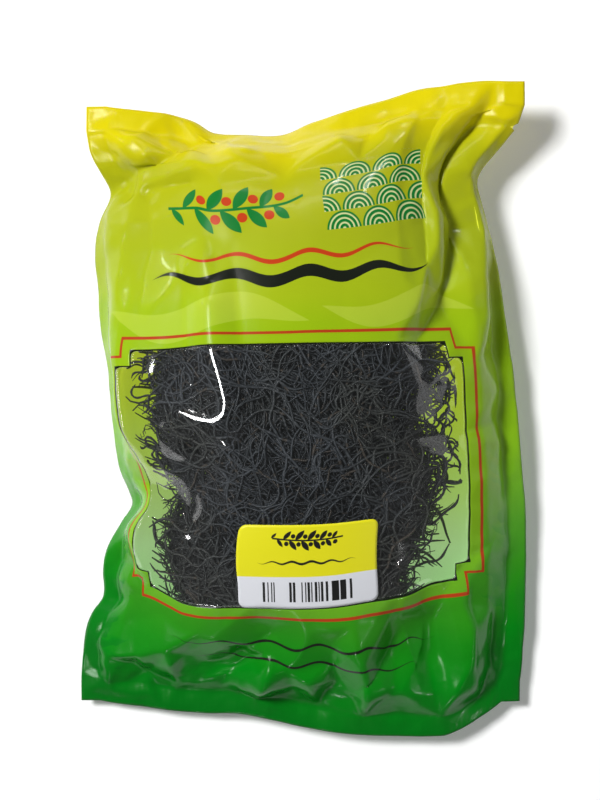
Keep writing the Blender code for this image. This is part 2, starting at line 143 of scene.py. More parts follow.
class Net:
    """A material's or the world's nodes, built from expressions and from one method for any other node."""

    def __init__(self, owner: bpy.types.Material | bpy.types.World) -> None:
        """Empties the owner's nodes.

        Args:
            owner: The material or the world.
        """
        self.owner = owner
        owner.use_nodes = True
        self.tree = owner.node_tree
        self.tree.nodes.clear()

    @classmethod
    def material(cls, name: str) -> Net:
        """The nodes of a new material."""
        return cls(bpy.data.materials.new(name))

    def node(self, kind: str, settings: dict[str, object] | None = None,
             sockets: dict[str | int, object] | None = None) -> bpy.types.Node:
        """Adds a node.

        Args:
            kind: The node's type.
            settings: Its settings, set first. stops are a ramp's (place, colour) pairs.
            sockets: The values or links of its sockets, by name or number.

        Returns:
            The node.
        """
        made = self.tree.nodes.new(kind)
        for name, value in (settings or {}).items():
            if name == "stops":
                self._set_stops(made.color_ramp, value)
            else:
                setattr(made, name, value)
        for name, value in (sockets or {}).items():
            self._feed(made.inputs[name], value)
        return made

    def _set_stops(self, ramp: bpy.types.ColorRamp, stops: list[tuple[float, Colour]]) -> None:
        """Gives a ramp its stops.

        Args:
            ramp: The ramp.
            stops: The (place, colour) pairs, in rising order of place.
        """
        while len(ramp.elements) < len(stops):
            ramp.elements.new(1.0)
        for element, (place, colour) in zip(ramp.elements, stops):
            element.position = place
            element.color = (*colour, 1)

    def _feed(self, socket: bpy.types.NodeSocket, value: object) -> None:
        """Links a socket, or sets its value.

        Args:
            socket: The socket.
            value: A link's other end, a number, or a colour without its alpha.
        """
        if isinstance(value, Value):
            self.tree.links.new(value.socket, socket)
        elif isinstance(value, bpy.types.NodeSocket):
            self.tree.links.new(value, socket)
        elif socket.type == "RGBA" and len(value) == 3:
            socket.default_value = (*value, 1)
        else:
            socket.default_value = value

    def math(self, operation: str, *terms: Term) -> Value:
        """The result of a Math node with this operation and these terms, in order."""
        made = self.node("ShaderNodeMath", {"operation": operation}, dict(enumerate(terms)))
        return Value(self, made.outputs[0])

    def smooth(self, value: Value, start: float, end: float) -> Value:
        """Goes smoothly from 0 to 1 as a value goes from start to end.

        Args:
            value: The value.
            start: Where the result leaves 0.
            end: Where the result reaches 1.

        Returns:
            The result.
        """
        made = self.node("ShaderNodeMapRange", {"interpolation_type": "SMOOTHSTEP"},
                         {0: value, 1: start, 2: end, 3: 0.0, 4: 1.0})
        return Value(self, made.outputs[0])

    def blend(self, share: Term, first: object, second: object) -> bpy.types.NodeSocket:
        """Mixes two colours, or sockets that give them; share is how much of the second."""
        made = self.node("ShaderNodeMix", {"data_type": "RGBA"}, {0: share, 6: first, 7: second})
        return made.outputs[2]

    def noise(self, per_mm: float, detail: float = 2.0, roughness: float = 0.5) -> Value:
        """A cloudy pattern in the object's own space, about 0.5 on average."""
        return self._pattern("ShaderNodeTexNoise", "Fac", per_mm, Detail=detail, Roughness=roughness)

    def cells(self, per_mm: float) -> Value:
        """A pattern of crisp cells in the object's own space, 0 at their middles."""
        return self._pattern("ShaderNodeTexVoronoi", "Distance", per_mm)

    def _pattern(self, kind: str, output: str, per_mm: float, **sockets: float) -> Value:
        """Adds a texture node that fills the object's own space.

        Args:
            kind: The node's type.
            output: The name of the output that is read.
            per_mm: How many spots there are to a millimetre.
            sockets: Its other sockets by name.

        Returns:
            The pattern.
        """
        place = self.node("ShaderNodeTexCoord").outputs["Object"]
        made = self.node(kind, None, {"Vector": place, "Scale": per_mm / MM, **sockets})
        return Value(self, made.outputs[output])

    def flat_map(self) -> tuple[Value, Value]:
        """The place on the flat map.

        Returns:
            Its two coordinates, from 0 to 1.
        """
        corners = self.node("ShaderNodeUVMap", {"uv_map": FLAT_UV}).outputs[0]
        split = self.node("ShaderNodeSeparateXYZ", None, {0: corners})
        return Value(self, split.outputs[0]), Value(self, split.outputs[1])

    def flat_place(self, width: float, length: float) -> tuple[Value, Value]:
        """The place on flat film of this width and length: u and v in millimetres."""
        u, v = self.flat_map()
        return u * width - width / 2, v * length - length / 2

    def shade_along(self, v: Value, length: float, shades: Shades, ink: float = 1.0) -> bpy.types.NodeSocket:
        """The print's ground colour along the film.

        Args:
            v: The place along the film, from its middle.
            length: The film's length.
            shades: The (v, colour) pairs, in rising order of v.
            ink: How bright the colours are.

        Returns:
            The colour.
        """
        stops = [((place + length / 2) / length, tuple(ink * c for c in colour)) for place, colour in shades]
        ramp = self.node("ShaderNodeValToRGB", {"stops": stops}, {0: (v + length / 2) / length})
        return ramp.outputs[0]

    def bump(self, height: Value, distance: float, strength: float) -> bpy.types.NodeSocket:
        """A Bump node's normal.

        Args:
            height: The height, 0 to 1.
            distance: What a height of 1 stands for, in millimetres.
            strength: How strongly it shows.

        Returns:
            The normal.
        """
        made = self.node("ShaderNodeBump", None,
                         {"Height": height, "Distance": distance * MM, "Strength": strength})
        return made.outputs[0]

    def principled(self, **sockets: object) -> bpy.types.NodeSocket:
        """A Principled shader's output; sockets are given by name, with _ for a space."""
        named = {name.replace("_", " "): value for name, value in sockets.items()}
        return self.node("ShaderNodeBsdfPrincipled", None, named).outputs[0]

    def done(self, shader: bpy.types.NodeSocket) -> bpy.types.Material | bpy.types.World:
        """Links a shader to the output.

        Args:
            shader: The shader's output.

        Returns:
            The nodes' owner.
        """
        kind = "World" if isinstance(self.owner, bpy.types.World) else "Material"
        self.node(f"ShaderNodeOutput{kind}", None, {"Surface": shader})
        return self.owner


def round_corners(u: Array, v: Array, middle: tuple[float, float], half: tuple[float, float],
                  radius: float) -> tuple[Array, Array]:
    """Moves the places near a rectangle's corners so that its corners come out round.

    Args:
        u: The places' u.
        v: Their v.
        middle: The rectangle's middle.
        half: Half its width and half its height.
        radius: The corners' radius.

    Returns:
        The moved u and v.
    """
    inner_u, inner_v = half[0] - radius, half[1] - radius
    du, dv = np.abs(u - middle[0]) - inner_u, np.abs(v - middle[1]) - inner_v
    near = (du > 0) & (dv > 0) & (du <= radius + CLOSE) & (dv <= radius + CLOSE)
    shrink = np.where(near, np.maximum(du, dv) / np.where(near, np.hypot(du, dv), 1), 1)
    round_u = middle[0] + np.sign(u - middle[0]) * (inner_u + du * shrink)
    round_v = middle[1] + np.sign(v - middle[1]) * (inner_v + dv * shrink)
    return np.where(near, round_u, u), np.where(near, round_v, v)


@dataclass(frozen=True)
class Window:
    """The clear window's outline on the flat film: a rectangle with a square step at each corner."""

    half_width: float = 64.0
    low: float = -72.0
    high: float = 20.0
    step: float = 6.0
    corner: float = 2.0

    @property
    def middle(self) -> float:
        """The v of its middle."""
        return (self.low + self.high) / 2

    @property
    def half_height(self) -> float:
        """Half its height."""
        return (self.high - self.low) / 2

    def holds(self, u: Array, v: Array) -> Array:
        """Which places are inside it.

        Args:
            u: The places' u.
            v: Their v.

        Returns:
            Whether each is.
        """
        du, dv = np.abs(u), np.abs(v - self.middle)
        wide = (du < self.half_width) & (dv < self.half_height - self.step)
        tall = (du < self.half_width - self.step) & (dv < self.half_height)
        return wide | tall

    def rounded(self, u: Array, v: Array) -> tuple[Array, Array]:
        """Moves the places near its outer corners so that its corners come out round.

        Args:
            u: The places' u.
            v: Their v.

        Returns:
            The moved u and v.
        """
        wide = (self.half_width, self.half_height - self.step)
        tall = (self.half_width - self.step, self.half_height)
        for half in (wide, tall):
            u, v = round_corners(u, v, (0.0, self.middle), half, self.corner)
        return u, v

    def distance(self, u: Value, v: Value) -> Value:
        """How far a place is outside the outline, with square corners; below 0 is inside.

        Args:
            u: The place's u.
            v: Its v.

        Returns:
            The distance in millimetres.
        """
        du, dv = abs(u), abs(v - self.middle)
        wide = u.net.math("MAXIMUM", du - self.half_width, dv - (self.half_height - self.step))
        tall = u.net.math("MAXIMUM", du - (self.half_width - self.step), dv - self.half_height)
        return u.net.math("MINIMUM", wide, tall)


@dataclass(frozen=True)
class Sprig:
    """A plain printed ornament: a bent stem with leaves set in turn on both sides.

    Its sizes are in millimetres. It is turned, and its leaves lean, by degrees. The narrowing is how
    much smaller the leaves at its ends are.
    """

    middle: tuple[float, float]
    length: float
    leaf: float
    leaf_width: float
    pitch: float
    stem: float
    turn: float = 0.0
    bend: float = 0.0
    lean: float = 52.0
    narrowing: float = 0.65
    crisp: float = 0.01

    def masks(self, u: Value, v: Value) -> tuple[Value, Value]:
        """Where its green parts and its round floats are.

        Args:
            u: The place's u.
            v: Its v.

        Returns:
            The mask of stem and leaves, and the mask of the floats.
        """
        net = u.net
        half, half_pitch = self.length / 2, self.pitch / 2
        turn_cos, turn_sin = math.cos(math.radians(self.turn)), math.sin(math.radians(self.turn))
        lean_cos, lean_sin = math.cos(math.radians(self.lean)), math.sin(math.radians(self.lean))
        du, dv = u - self.middle[0], v - self.middle[1]
        x = du * turn_cos + dv * turn_sin
        y = dv * turn_cos - du * turn_sin - x * x * (self.bend / half ** 2)
        side = abs(y)
        share = x / half
        size = 1 - share * share * self.narrowing
        shift = (y < 0.0) * half_pitch
        cell = (x + shift) % self.pitch
        out = (cell * lean_cos + side * lean_sin) / (size * self.leaf)
        across = abs(side * lean_cos - cell * lean_sin)
        leaves = (across - out * (1 - out) * size * (2 * self.leaf_width)).below(0.0)
        leaves = leaves * out.between(0.0, 1.0, self.crisp)
        whole = net.math("FLOOR", (x + shift) / self.pitch) * self.pitch
        root = abs(whole - shift + half_pitch)
        leaves = leaves * root.below(half - half_pitch, self.crisp)
        stem = side.below(self.stem / 2) * abs(x).below(half - self.pitch * 0.3)
        green = net.math("MAXIMUM", leaves, stem)
        float_x, float_y = cell - self.pitch * 0.8, side - self.leaf * 0.3
        away = net.math("SQRT", float_x * float_x + float_y * float_y)
        return green, away.below(self.leaf_width * 0.42) * root.below(half - self.pitch, self.crisp)


@dataclass(frozen=True)
class Wave:
    """A printed wave line along u."""

    middle: tuple[float, float]
    length: float
    width: float
    swing: float
    pitch: float

    def mask(self, u: Value, v: Value) -> Value:
        """Where the line is, thinning to its ends.

        Args:
            u: The place's u.
            v: Its v.

        Returns:
            The mask.
        """
        run = u - self.middle[0]
        rise = u.net.math("SINE", run * (2 * math.pi / self.pitch)) * self.swing
        share = run / (self.length / 2)
        half = (1 - share * share) * (self.width / 2)
        return (abs(v - self.middle[1] - rise) - half).below(0.0) * abs(share).below(1.0, 0.01)


@dataclass(frozen=True)
class Scales:
    """A traditional pattern of wave scales: rows of half rings, each row set half a scale over.

    A scale has its radius, and its pale lines fill a part of each of its rings.
    """

    middle: tuple[float, float]
    radius: float
    rings: int
    across: int
    rows: int
    pale_part: float = 0.36

    def masks(self, u: Value, v: Value) -> tuple[Value, Value]:
        """Where the scales and the pale lines between their rings are.

        Args:
            u: The place's u.
            v: Its v.

        Returns:
            The mask of the scales and the mask of the pale lines.
        """
        net = u.net
        radius, ring = self.radius, self.radius / self.rings
        x, y = u - (self.middle[0] - self.across * radius), v - (self.middle[1] - self.rows * radius / 2)
        row = net.math("FLOOR", y / radius)
        odd = row % 2.0
        cell = (x + odd * radius) % (2 * radius) - radius
        rise = y - row * radius
        away = net.math("SQRT", cell * cell + rise * rise)
        inside = x.between(0.0, 2 * radius * self.across) * y.between(0.0, radius * self.rows)
        body = away.below(radius - 0.3) * inside
        share = (away % ring) / ring
        return body, body * share.below(self.pale_part, 0.1)


@dataclass(frozen=True)
class PrintedFilm:
    """Glossy packaging film, printed from yellow through lime to dark green, with its frame lines.

    At the sides it is greener by a side lift, in millimetres of its own run along the film: printed
    blades, and painted shade where the walls turn away. Round the foot of the window it is paler by a
    frame lift.
    """

    window: Window
    width: float = 172.0
    length: float = 240.0
    shades: Shades = (
        (-120, screen(6, 118, 26)), (-100, screen(4, 134, 22)), (-88, screen(26, 142, 22)),
        (-72, screen(62, 156, 28)), (-58, screen(88, 170, 38)), (-42, screen(120, 188, 38)),
        (-25, screen(140, 192, 30)), (0, screen(150, 196, 24)), (26, screen(160, 196, 20)),
        (36, screen(173, 196, 27)), (60, screen(176, 189, 29)), (86, screen(189, 192, 18)),
        (104, screen(226, 213, 8)), (120, screen(233, 216, 6)))
    line_red: Colour = screen(176, 62, 26)
    line_black: Colour = screen(26, 30, 22)
    leaf_green: Colour = screen(20, 118, 46)
    float_red: Colour = screen(190, 62, 24)
    scale_line: Colour = screen(206, 214, 150)
    ghost: Colour = screen(214, 226, 96)
    roughness: float = 0.17
    ink: float = 0.86
    blade_pitch: float = 6.4
    blade_reach: float = 11.0
    blade_lean: float = 0.9
    # How far the sides run greener: printed blades and painted shade.
    side_print_and_shade_lift: float = 26.0
    frame_lift: float = 24.0
    frame_width: float = 3.9
    frame_line: tuple[float, float] = (3.55, 4.5)
    window_line: float = 0.5
    rib_pitch: float = 2.3
    rib_height: float = 0.015
    ornament: bool = True

    def shade(self, net: Net, u: Value, v: Value) -> tuple[bpy.types.NodeSocket, Value]:
        """The ground colour and how far the place is outside the window.

        Args:
            net: The material's nodes.
            u: The place's u.
            v: Its v.

        Returns:
            The colour, and the distance.
        """
        outside = self.window.distance(u, v)
        uneven = net.noise(0.07)
        blade = (v + abs(u) * self.blade_lean + uneven * 26.0) % self.blade_pitch
        wide = net.smooth(uneven, 0.35, 0.7) * self.blade_reach
        tufts = abs(u) + (1 - blade / self.blade_pitch) * wide * v.below(12.0, 30.0)
        # Greener towards the sides: the tufts are printed blades, and the smooth band from 68 mm is painted
        # shade where the walls turn away.
        edge = net.smooth(tufts, 76.0, 79.0) * 0.55 + net.smooth(abs(u), 68.0, 84.0) * 0.45
        edge = edge * (1 - net.smooth(v, 5.0, 60.0)) * (1 - net.smooth(u, 20.0, 60.0) * 0.55)
        inner = outside.below(self.frame_width) * (1 - net.smooth(v, -50.0, 20.0)) if self.ornament else 0.0
        cloud = (net.noise(0.018) - 0.5) * 16.0
        lifted = v + cloud - edge * self.side_print_and_shade_lift + inner * self.frame_lift
        return net.shade_along(lifted, self.length, self.shades, self.ink), outside

    def material(self, name: str) -> bpy.types.Material:
        """Makes the finish.

        Args:
            name: The material's name.

        Returns:
            The material.
        """
        net = Net.material(name)
        u, v = net.flat_place(self.width, self.length)
        colour, outside = self.shade(net, u, v)
        if self.ornament:
            colour = self._draw(net, u, v, colour, outside)
        dull = net.noise(0.03)
        outer = net.math("MAXIMUM", net.smooth(abs(u), 50.0, 74.0), net.smooth(abs(v), 70.0, 100.0))
        crumple = (net.cells(0.075) + net.cells(0.17) * 0.35) * (0.22 + outer * 0.78)
        ribs = net.math("SINE", u * (2 * math.pi / self.rib_pitch))
        ribs = ribs * net.smooth(abs(v), 111.5, 112.5) * self.rib_height
        return net.done(net.principled(
            Base_Color=colour, Roughness=self.roughness + dull * 0.12, IOR=1.3, Coat_Weight=0.1,
            Coat_Roughness=0.04, Normal=net.bump(crumple + ribs, 0.9, 0.5)))

    def _draw(self, net: Net, u: Value, v: Value, ground: bpy.types.NodeSocket,
              outside: Value) -> bpy.types.NodeSocket:
        """Draws the frame lines and the ornament.

        Args:
            net: The material's nodes.
            u: The place's u.
            v: Its v.
            ground: The ground colour.
            outside: How far the place is outside the window.

        Returns:
            The colour with all of them on it.
        """
        colour = ground
        for wave in (Wave((-32, 30), 76, 11.0, 3.2, 60), Wave((40, 31), 60, 8.0, 2.6, 52)):
            colour = net.blend(wave.mask(u, v) * 0.24, colour, self.ghost)
        body, rings = Scales((33, 72), 7.0, 4, 3, 4).masks(u, v)
        colour = net.blend(body, colour, self.leaf_green)
        colour = net.blend(rings, colour, self.scale_line)
        sprig = Sprig((-23, 69), 62, 12.5, 4.8, 10.5, 1.2, turn=5, bend=3.0)
        green, floats = sprig.masks(u, v)
        colour = net.blend(green, colour, self.leaf_green)
        colour = net.blend(floats, colour, self.float_red)
        for wave, ink in (
                (Wave((-2, 43), 106, 4.4, 1.5, 26), self.line_black),
                (Wave((-2, 50), 94, 1.8, 1.5, 26), self.float_red),
                (Wave((0, -86), 96, 1.0, 1.1, 17), self.line_black),
                (Wave((0, -93), 80, 1.0, 1.1, 17), self.line_black)):
            colour = net.blend(wave.mask(u, v), colour, ink)
        colour = net.blend(outside.between(*self.frame_line), colour, self.line_red)
        return net.blend(outside.below(self.window_line), colour, self.line_black)


@dataclass(frozen=True)
class FilmInside:
    """The inside of the printed film: pale, with a painted glow of its own colour for the light that the thin
    film lets through.
    """

    width: float = 172.0
    length: float = 240.0
    # Strength of the painted glow: the inside emits its own colour, though it is no lamp.
    glow: float = 0.85
    shades: Shades = (
        (-95, screen(128, 176, 118)), (-60, screen(154, 188, 130)), (-30, screen(152, 182, 78)),
        (0, screen(158, 180, 34)), (30, screen(164, 176, 26)), (110, screen(196, 194, 60)))

    def material(self, name: str) -> bpy.types.Material:
        """Makes the finish.

        Args:
            name: The material's name.

        Returns:
            The material.
        """
        net = Net.material(name)
        _, v = net.flat_place(self.width, self.length)
        cloud = (net.noise(0.03) - 0.5) * 22.0
        colour = net.shade_along(v + cloud, self.length, self.shades)
        # Painted glow: the inside's colour is emitted, standing in for light let through the film.
        return net.done(net.principled(
            Base_Color=colour, Roughness=0.3 + net.noise(0.05) * 0.1,
            Emission_Color=colour, Emission_Strength=self.glow))


@dataclass(frozen=True)
class ClearFilm:
    """The bare film of the window: clear, with a faint haze and sharp reflections.

    It mirrors a share of what is seen head on in it, and more at a grazing look.
    """

    haze: float = 0.003
    haze_colour: Colour = (0.72, 0.80, 0.80)
    head_on: float = 0.045
    grazing: float = 0.6
    roughness: float = 0.045

    def material(self, name: str) -> bpy.types.Material:
        """Makes the finish.

        Args:
            name: The material's name.

        Returns:
            The material.
        """
        net = Net.material(name)
        normal = net.bump(net.noise(0.05), 0.3, 0.2)
        clear = net.node("ShaderNodeBsdfTransparent", None, {0: (1.0, 1.0, 1.0)}).outputs[0]
        milk = net.principled(Base_Color=self.haze_colour, Roughness=0.4, Specular_IOR_Level=0.0)
        hazy = net.node("ShaderNodeMixShader", None, {0: self.haze, 1: clear, 2: milk}).outputs[0]
        gloss = net.principled(Base_Color=(1.0, 1.0, 1.0), Metallic=1.0,
                               Roughness=self.roughness + net.noise(0.08) * 0.05, Normal=normal)
        slant = net.node("ShaderNodeLayerWeight", None, {"Blend": 0.5, "Normal": normal}).outputs["Facing"]
        mirrored = net.math("POWER", Value(net, slant), 4.0) * (self.grazing - self.head_on) + self.head_on
        return net.done(net.node("ShaderNodeMixShader", None, {0: mirrored, 1: hazy, 2: gloss}).outputs[0])


@dataclass(frozen=True)
class LabelPaper:
    """Coated label paper: yellow over white, with a black sprig and bars that encode nothing."""

    width: float
    length: float
    yellow: Colour = screen(232, 226, 24)
    white: Colour = screen(226, 228, 234)
    ink: Colour = screen(22, 22, 22)
    white_top: float = -60.5
    bars_u: tuple[float, float] = (-14.5, 17.5)
    bars_v: tuple[float, float] = (-69.6, -62.4)
    bar_step: float = 0.42
    bar_seed: float = 7.3

    def material(self, name: str) -> bpy.types.Material:
        """Makes the finish.

        Args:
            name: The material's name.

        Returns:
            The material.
        """
        net = Net.material(name)
        u, v = net.flat_place(self.width, self.length)
        colour = net.blend(v.below(self.white_top, 0.15), self.yellow, self.white)
        step = net.math("FLOOR", u / self.bar_step) + self.bar_seed
        drawn = net.node("ShaderNodeTexWhiteNoise", {"noise_dimensions": "1D"}, {"W": step})
        draw = Value(net, drawn.outputs[0])
        bars = (draw < 0.5) * u.between(*self.bars_u, 0.01) * v.between(*self.bars_v, 0.06)
        green, floats = Sprig((1.5, -47.5), 27, 4.6, 1.9, 4.2, 0.6, bend=1.0).masks(u, v)
        rule = Wave((1.5, -55.4), 34, 0.9, 0.45, 6.8).mask(u, v)
        for mask in (bars, green, floats, rule):
            colour = net.blend(mask, colour, self.ink)
        fibre = net.noise(0.9, 3.0)
        return net.done(net.principled(Base_Color=colour, Roughness=0.34 + fibre * 0.12,
                                       Normal=net.bump(fibre, 0.05, 0.3)))


@dataclass(frozen=True)
class DriedWeed:
    """Dried seaweed: near black and wiry, with a painted grey light on the strands that lie high."""

    dark: Colour = (0.008, 0.010, 0.012)
    # The grey of the painted light on the strands that lie high, going over to olive at random.
    pale: Colour = (0.056, 0.066, 0.078)
    olive: Colour = (0.054, 0.058, 0.047)
    brown: Colour = (0.050, 0.038, 0.026)
    brown_tones: tuple[float, float] = (0.52, 0.55)
    ridges: float = 70.0
    roughness: float = 0.42

    def material(self, name: str) -> bpy.types.Material:
        """Makes the finish, which reads each strand's tone and painted light from its flat map.

        Args:
            name: The material's name.

        Returns:
            The material.
        """
        net = Net.material(name)
        tone, length = net.flat_map()
        spots = net.noise(0.5, 3.0, 0.6)
        # Painted light: strands that lie high get the pale grey, in patches.
        patchy_painted_light = tone * (0.55 + net.smooth(spots, 0.35, 0.75) * 0.45)
        pale = net.blend(net.smooth(net.noise(0.022), 0.42, 0.62), self.pale, self.olive)
        colour = net.blend(patchy_painted_light, self.dark, pale)
        colour = net.blend(tone.between(*self.brown_tones, 0.005) * 0.7, colour, self.brown)
        ridges = net.math("SINE", length * self.ridges) * 0.5 + net.noise(1.6)
        return net.done(net.principled(Base_Color=colour, Roughness=self.roughness + spots * 0.2,
                                       Normal=net.bump(ridges, 0.25, 0.6)))


@dataclass(frozen=True)
class PaleFloor:
    """A plain pale studio floor."""

    colour: Colour = (0.96, 0.96, 0.96)
    glow: float = 0.12

    def material(self, name: str) -> bpy.types.Material:
        """Makes the finish.

        Args:
            name: The material's name.

        Returns:
            The material.
        """
        net = Net.material(name)
        return net.done(net.principled(Base_Color=self.colour, Roughness=0.8, Specular_IOR_Level=0.1,
                                       Emission_Color=self.colour, Emission_Strength=self.glow))


def unit(vectors: Array, least: float = 0.0) -> Array:
    """Vectors scaled to a length of 1.

    Args:
        vectors: The vectors, with x, y and z last.
        least: The length that shorter ones count as having.

    Returns:
        The scaled vectors.
    """
    return vectors / np.maximum(np.linalg.norm(vectors, axis=-1, keepdims=True), least)


def along(stations: Stations, place: Array) -> Array:
    """The values at places on a smooth curve through (place, value) stations.

    Args:
        stations: The stations, in rising order of place.
        place: The places asked for.

    Returns:
        The values there.
    """
    xs, ys = np.array(stations, float).T
    number = np.arange(len(xs))
    before, after = np.maximum(number - 1, 0), np.minimum(number + 1, len(xs) - 1)
    lean = (ys[after] - ys[before]) / (xs[after] - xs[before])
    k = np.clip(np.searchsorted(xs, place), 1, len(xs) - 1)
    run = xs[k] - xs[k - 1]
    t = np.clip((place - xs[k - 1]) / run, 0, 1)
    return ((2 * t ** 3 - 3 * t ** 2 + 1) * ys[k - 1] + (t ** 3 - 2 * t ** 2 + t) * run * lean[k - 1]
            + (3 * t ** 2 - 2 * t ** 3) * ys[k] + (t ** 3 - t ** 2) * run * lean[k])


@dataclass(frozen=True)
class BroadFold:
    """A broad straight fold that pushes the front wall in: its two ends, half its width and its depth."""

    start: tuple[float, float]
    end: tuple[float, float]
    half_width: float
    depth: float

    def relief(self, u: Array, v: Array) -> Array:
        """The height that the fold adds.

        Args:
            u: The places' u.
            v: Their v.

        Returns:
            The heights, below 0 where it pushes in.
        """
        (u0, v0), run_u, run_v = self.start, self.end[0] - self.start[0], self.end[1] - self.start[1]
        share = np.clip(((u - u0) * run_u + (v - v0) * run_v) / (run_u ** 2 + run_v ** 2), 0, 1)
        away = np.hypot(u - u0 - share * run_u, v - v0 - share * run_v)
        return self.depth * np.maximum(1 - away / self.half_width, 0)


@dataclass(frozen=True)
class PacketForm:
    """The filled packet's form, with the same driving sizes as the solids.

    The tables are (place, value) stations in millimetres, as measured from zero, which puts the
    packet's middle over the origin. Heights are over the table, and droops are in degrees.
    """

    window: Window = Window()
    half_width: float = 86.0
    half_length: float = 120.0
    inner_u: float = 79.0
    inner_v: float = 112.0
    seal_rise: float = 0.32
    seal_ease: float = 9.0
    zero: tuple[float, float] = (2.18, 1.45)
    left_seam: Stations = (
        (-104, -76), (-87, -75), (-79, -74), (-74, -72), (-68, -68.3), (-59, -68.3), (-52, -67.2), (-41, -63),
        (-35, -60.3), (-30, -61.5), (-22, -64.7), (-7, -68), (2, -69), (14, -68.8), (28, -70.5),
        (42, -70.3), (57, -70.5), (65, -70), (70, -68.7), (77, -65.8), (82, -66.7), (91, -71),
        (103, -72.5))
    right_seam: Stations = (
        (-107, 67), (-97, 69.4), (-88, 70.2), (-58, 71.5), (-35, 71.2), (-14, 69), (5, 67.7), (28, 64.7),
        (49, 61.8), (66, 58.4), (81, 55.2), (86.5, 56.6), (96, 63.7), (100.5, 66.8), (112, 70))
    left_frame: Stations = (
        (-95, -62), (-62, -61), (-54, -61.6), (-46, -61), (-40, -59.5), (-34, -57.3), (-26, -58),
        (-20, -59.3), (-13.5, -61.3), (-7.6, -63.3), (3, -65.2), (14, -65.7), (22, -65.5), (50, -61),
        (70, -59), (95, -60))
    right_frame: Stations = (
        (-95, 59), (-54, 56.2), (-32, 55.5), (-8, 54.6), (3, 53.6), (17, 52.2), (40, 51.5), (60, 49),
        (80, 45), (100, 48), (112, 56))
    top_seam: Stations = (
        (-79, 98.5), (-60, 96.8), (-46, 96.2), (-38, 95.4), (-31, 93.2), (-17, 93), (-3, 92.5), (6, 95.4),
        (17, 97.8), (26, 99.7), (35, 102), (46, 105), (58, 106), (70, 107.6), (79, 107.4))
    bottom_seam: Stations = (
        (-79, -98), (-63, -100), (-37, -102.6), (-23, -102.7), (-11, -104.9), (-2, -107), (9, -109),
        (25, -110.3), (50, -110.3), (57, -108.4), (66, -104.4), (79, -98.3))
    frame_top: Stations = ((-64, 19.5), (-46, 19.8), (-30, 20.9), (3, 21.7), (30, 22.1), (64, 22.9))
    frame_foot: Stations = (
        (-64, -61.5), (-57, -63), (-50, -65.5), (-43, -68), (-27, -69), (-2, -69.4), (10, -68.8), (24, -66.8),
        (38, -65.2), (48, -61.8), (64, -59.5))
    left_droop: Stations = (
        (-97, 5), (-70, 25), (-50, 35), (-34, 60), (10, 65), (40, 45), (60, 35), (74, 50), (85, 15), (106, 5))
    right_droop: Stations = ((-103, 10), (-60, 20), (0, 25), (50, 35), (80, 45), (90, 25), (113, 0))
    top_droop: Stations = (
        (-79, 0), (-57, 8), (-45, 35), (-33, 58), (-8, 62), (5, 52), (20, 40), (40, 30), (60, 10), (79, 0))
    bottom_droop: Stations = ((-79, 4), (0, 12), (79, 4))
    left_height: Stations = (
        (-112, 7), (-80, 10), (-60, 14), (-35, 17), (0, 18), (40, 20), (80, 22), (112, 24))
    right_height: Stations = ((-112, 8), (-60, 12), (0, 16), (60, 18), (90, 20), (112, 24))
    top_height: Stations = ((-79, 24), (-45, 25), (-20, 27), (20, 26), (50, 23), (79, 24))
    bottom_height: Stations = ((-79, 7), (-40, 9), (0, 11), (40, 11), (79, 8))
    crown: float = 32.0
    arc: float = math.radians(80)
    across_fullness: float = 0.60
    end_fullness: float = 0.68
    seal_fullness: float = 0.35
    base_reach: float = 0.72
    base_power: float = 1.4
    top_ease: float = math.radians(72)
    foot_ease: float = math.radians(55)
    face_ease: float = math.radians(40)
    side_ease: float = math.radians(60)
    folds: tuple[BroadFold, ...] = (
        BroadFold((-76, 74), (-40, 80), 12, -5.0), BroadFold((-72, -31), (-48, -38), 9, -3.5),
        BroadFold((-40, -106), (-12, -82), 12, -4.0), BroadFold((12, -108), (34, -84), 11, -3.5),
        BroadFold((60, 104), (50, 44), 11, -4.0), BroadFold((52, -100), (44, -78), 9, -2.5))

    def inland(self, u: Array | float, v: Array | float) -> Array | float:
        """How far places are inside the seals; below 0 is on them."""
        return np.minimum(self.inner_u - np.abs(u), self.inner_v - np.abs(v))

    def flat_map(self, u: Array, v: Array) -> Array:
        """The places on the flat map, from 0 to 1 both ways, one a row."""
        share_u, share_v = u.ravel() / (2 * self.half_width), v.ravel() / (2 * self.half_length)
        return np.stack((share_u + 0.5, share_v + 0.5), axis=-1)

    def cushion(self, u: Array, v: Array) -> Array:
        """How full the packet is.

        Args:
            u: The places' u.
            v: Their v.

        Returns:
            The fullness, 0 at the seals and 1 in the middle.
        """
        end = math.cos(self.arc)
        across = np.cos(np.minimum(np.abs(u) / self.inner_u, 1) * self.arc) - end
        lengthwise = np.cos(np.minimum(np.abs(v) / self.inner_v, 1) * self.arc) - end
        full = (np.maximum(across, 0) / (1 - end)) ** self.across_fullness
        full = full * (np.maximum(lengthwise, 0) / (1 - end)) ** self.end_fullness
        return full * np.clip(self.inland(u, v) / self.seal_ease, 0, 1) ** self.seal_fullness

    def seam_height(self, u: Array, v: Array) -> Array:
        """The height of the level that the two walls part from, blended from the four seals.

        Args:
            u: The places' u.
            v: Their v.

        Returns:
            The heights.
        """
        cu, cv = np.clip(u, -self.inner_u, self.inner_u), np.clip(v, -self.inner_v, self.inner_v)
        a, b = (cu / self.inner_u + 1) / 2, (cv / self.inner_v + 1) / 2
        sides = (1 - a) * along(self.left_height, v) + a * along(self.right_height, v)
        ends = (1 - b) * along(self.bottom_height, u) + b * along(self.top_height, u)
        low = (1 - a) * self.left_height[0][1] + a * self.right_height[0][1]
        high = (1 - a) * self.left_height[-1][1] + a * self.right_height[-1][1]
        return sides + ends - (1 - b) * low - b * high

    @staticmethod
    def _eased(share: Array, angle: float) -> Array:
        """A share of the way, as a sheet that bends through an angle on it is seen from above."""
        return np.sin(share * angle) / math.sin(angle)

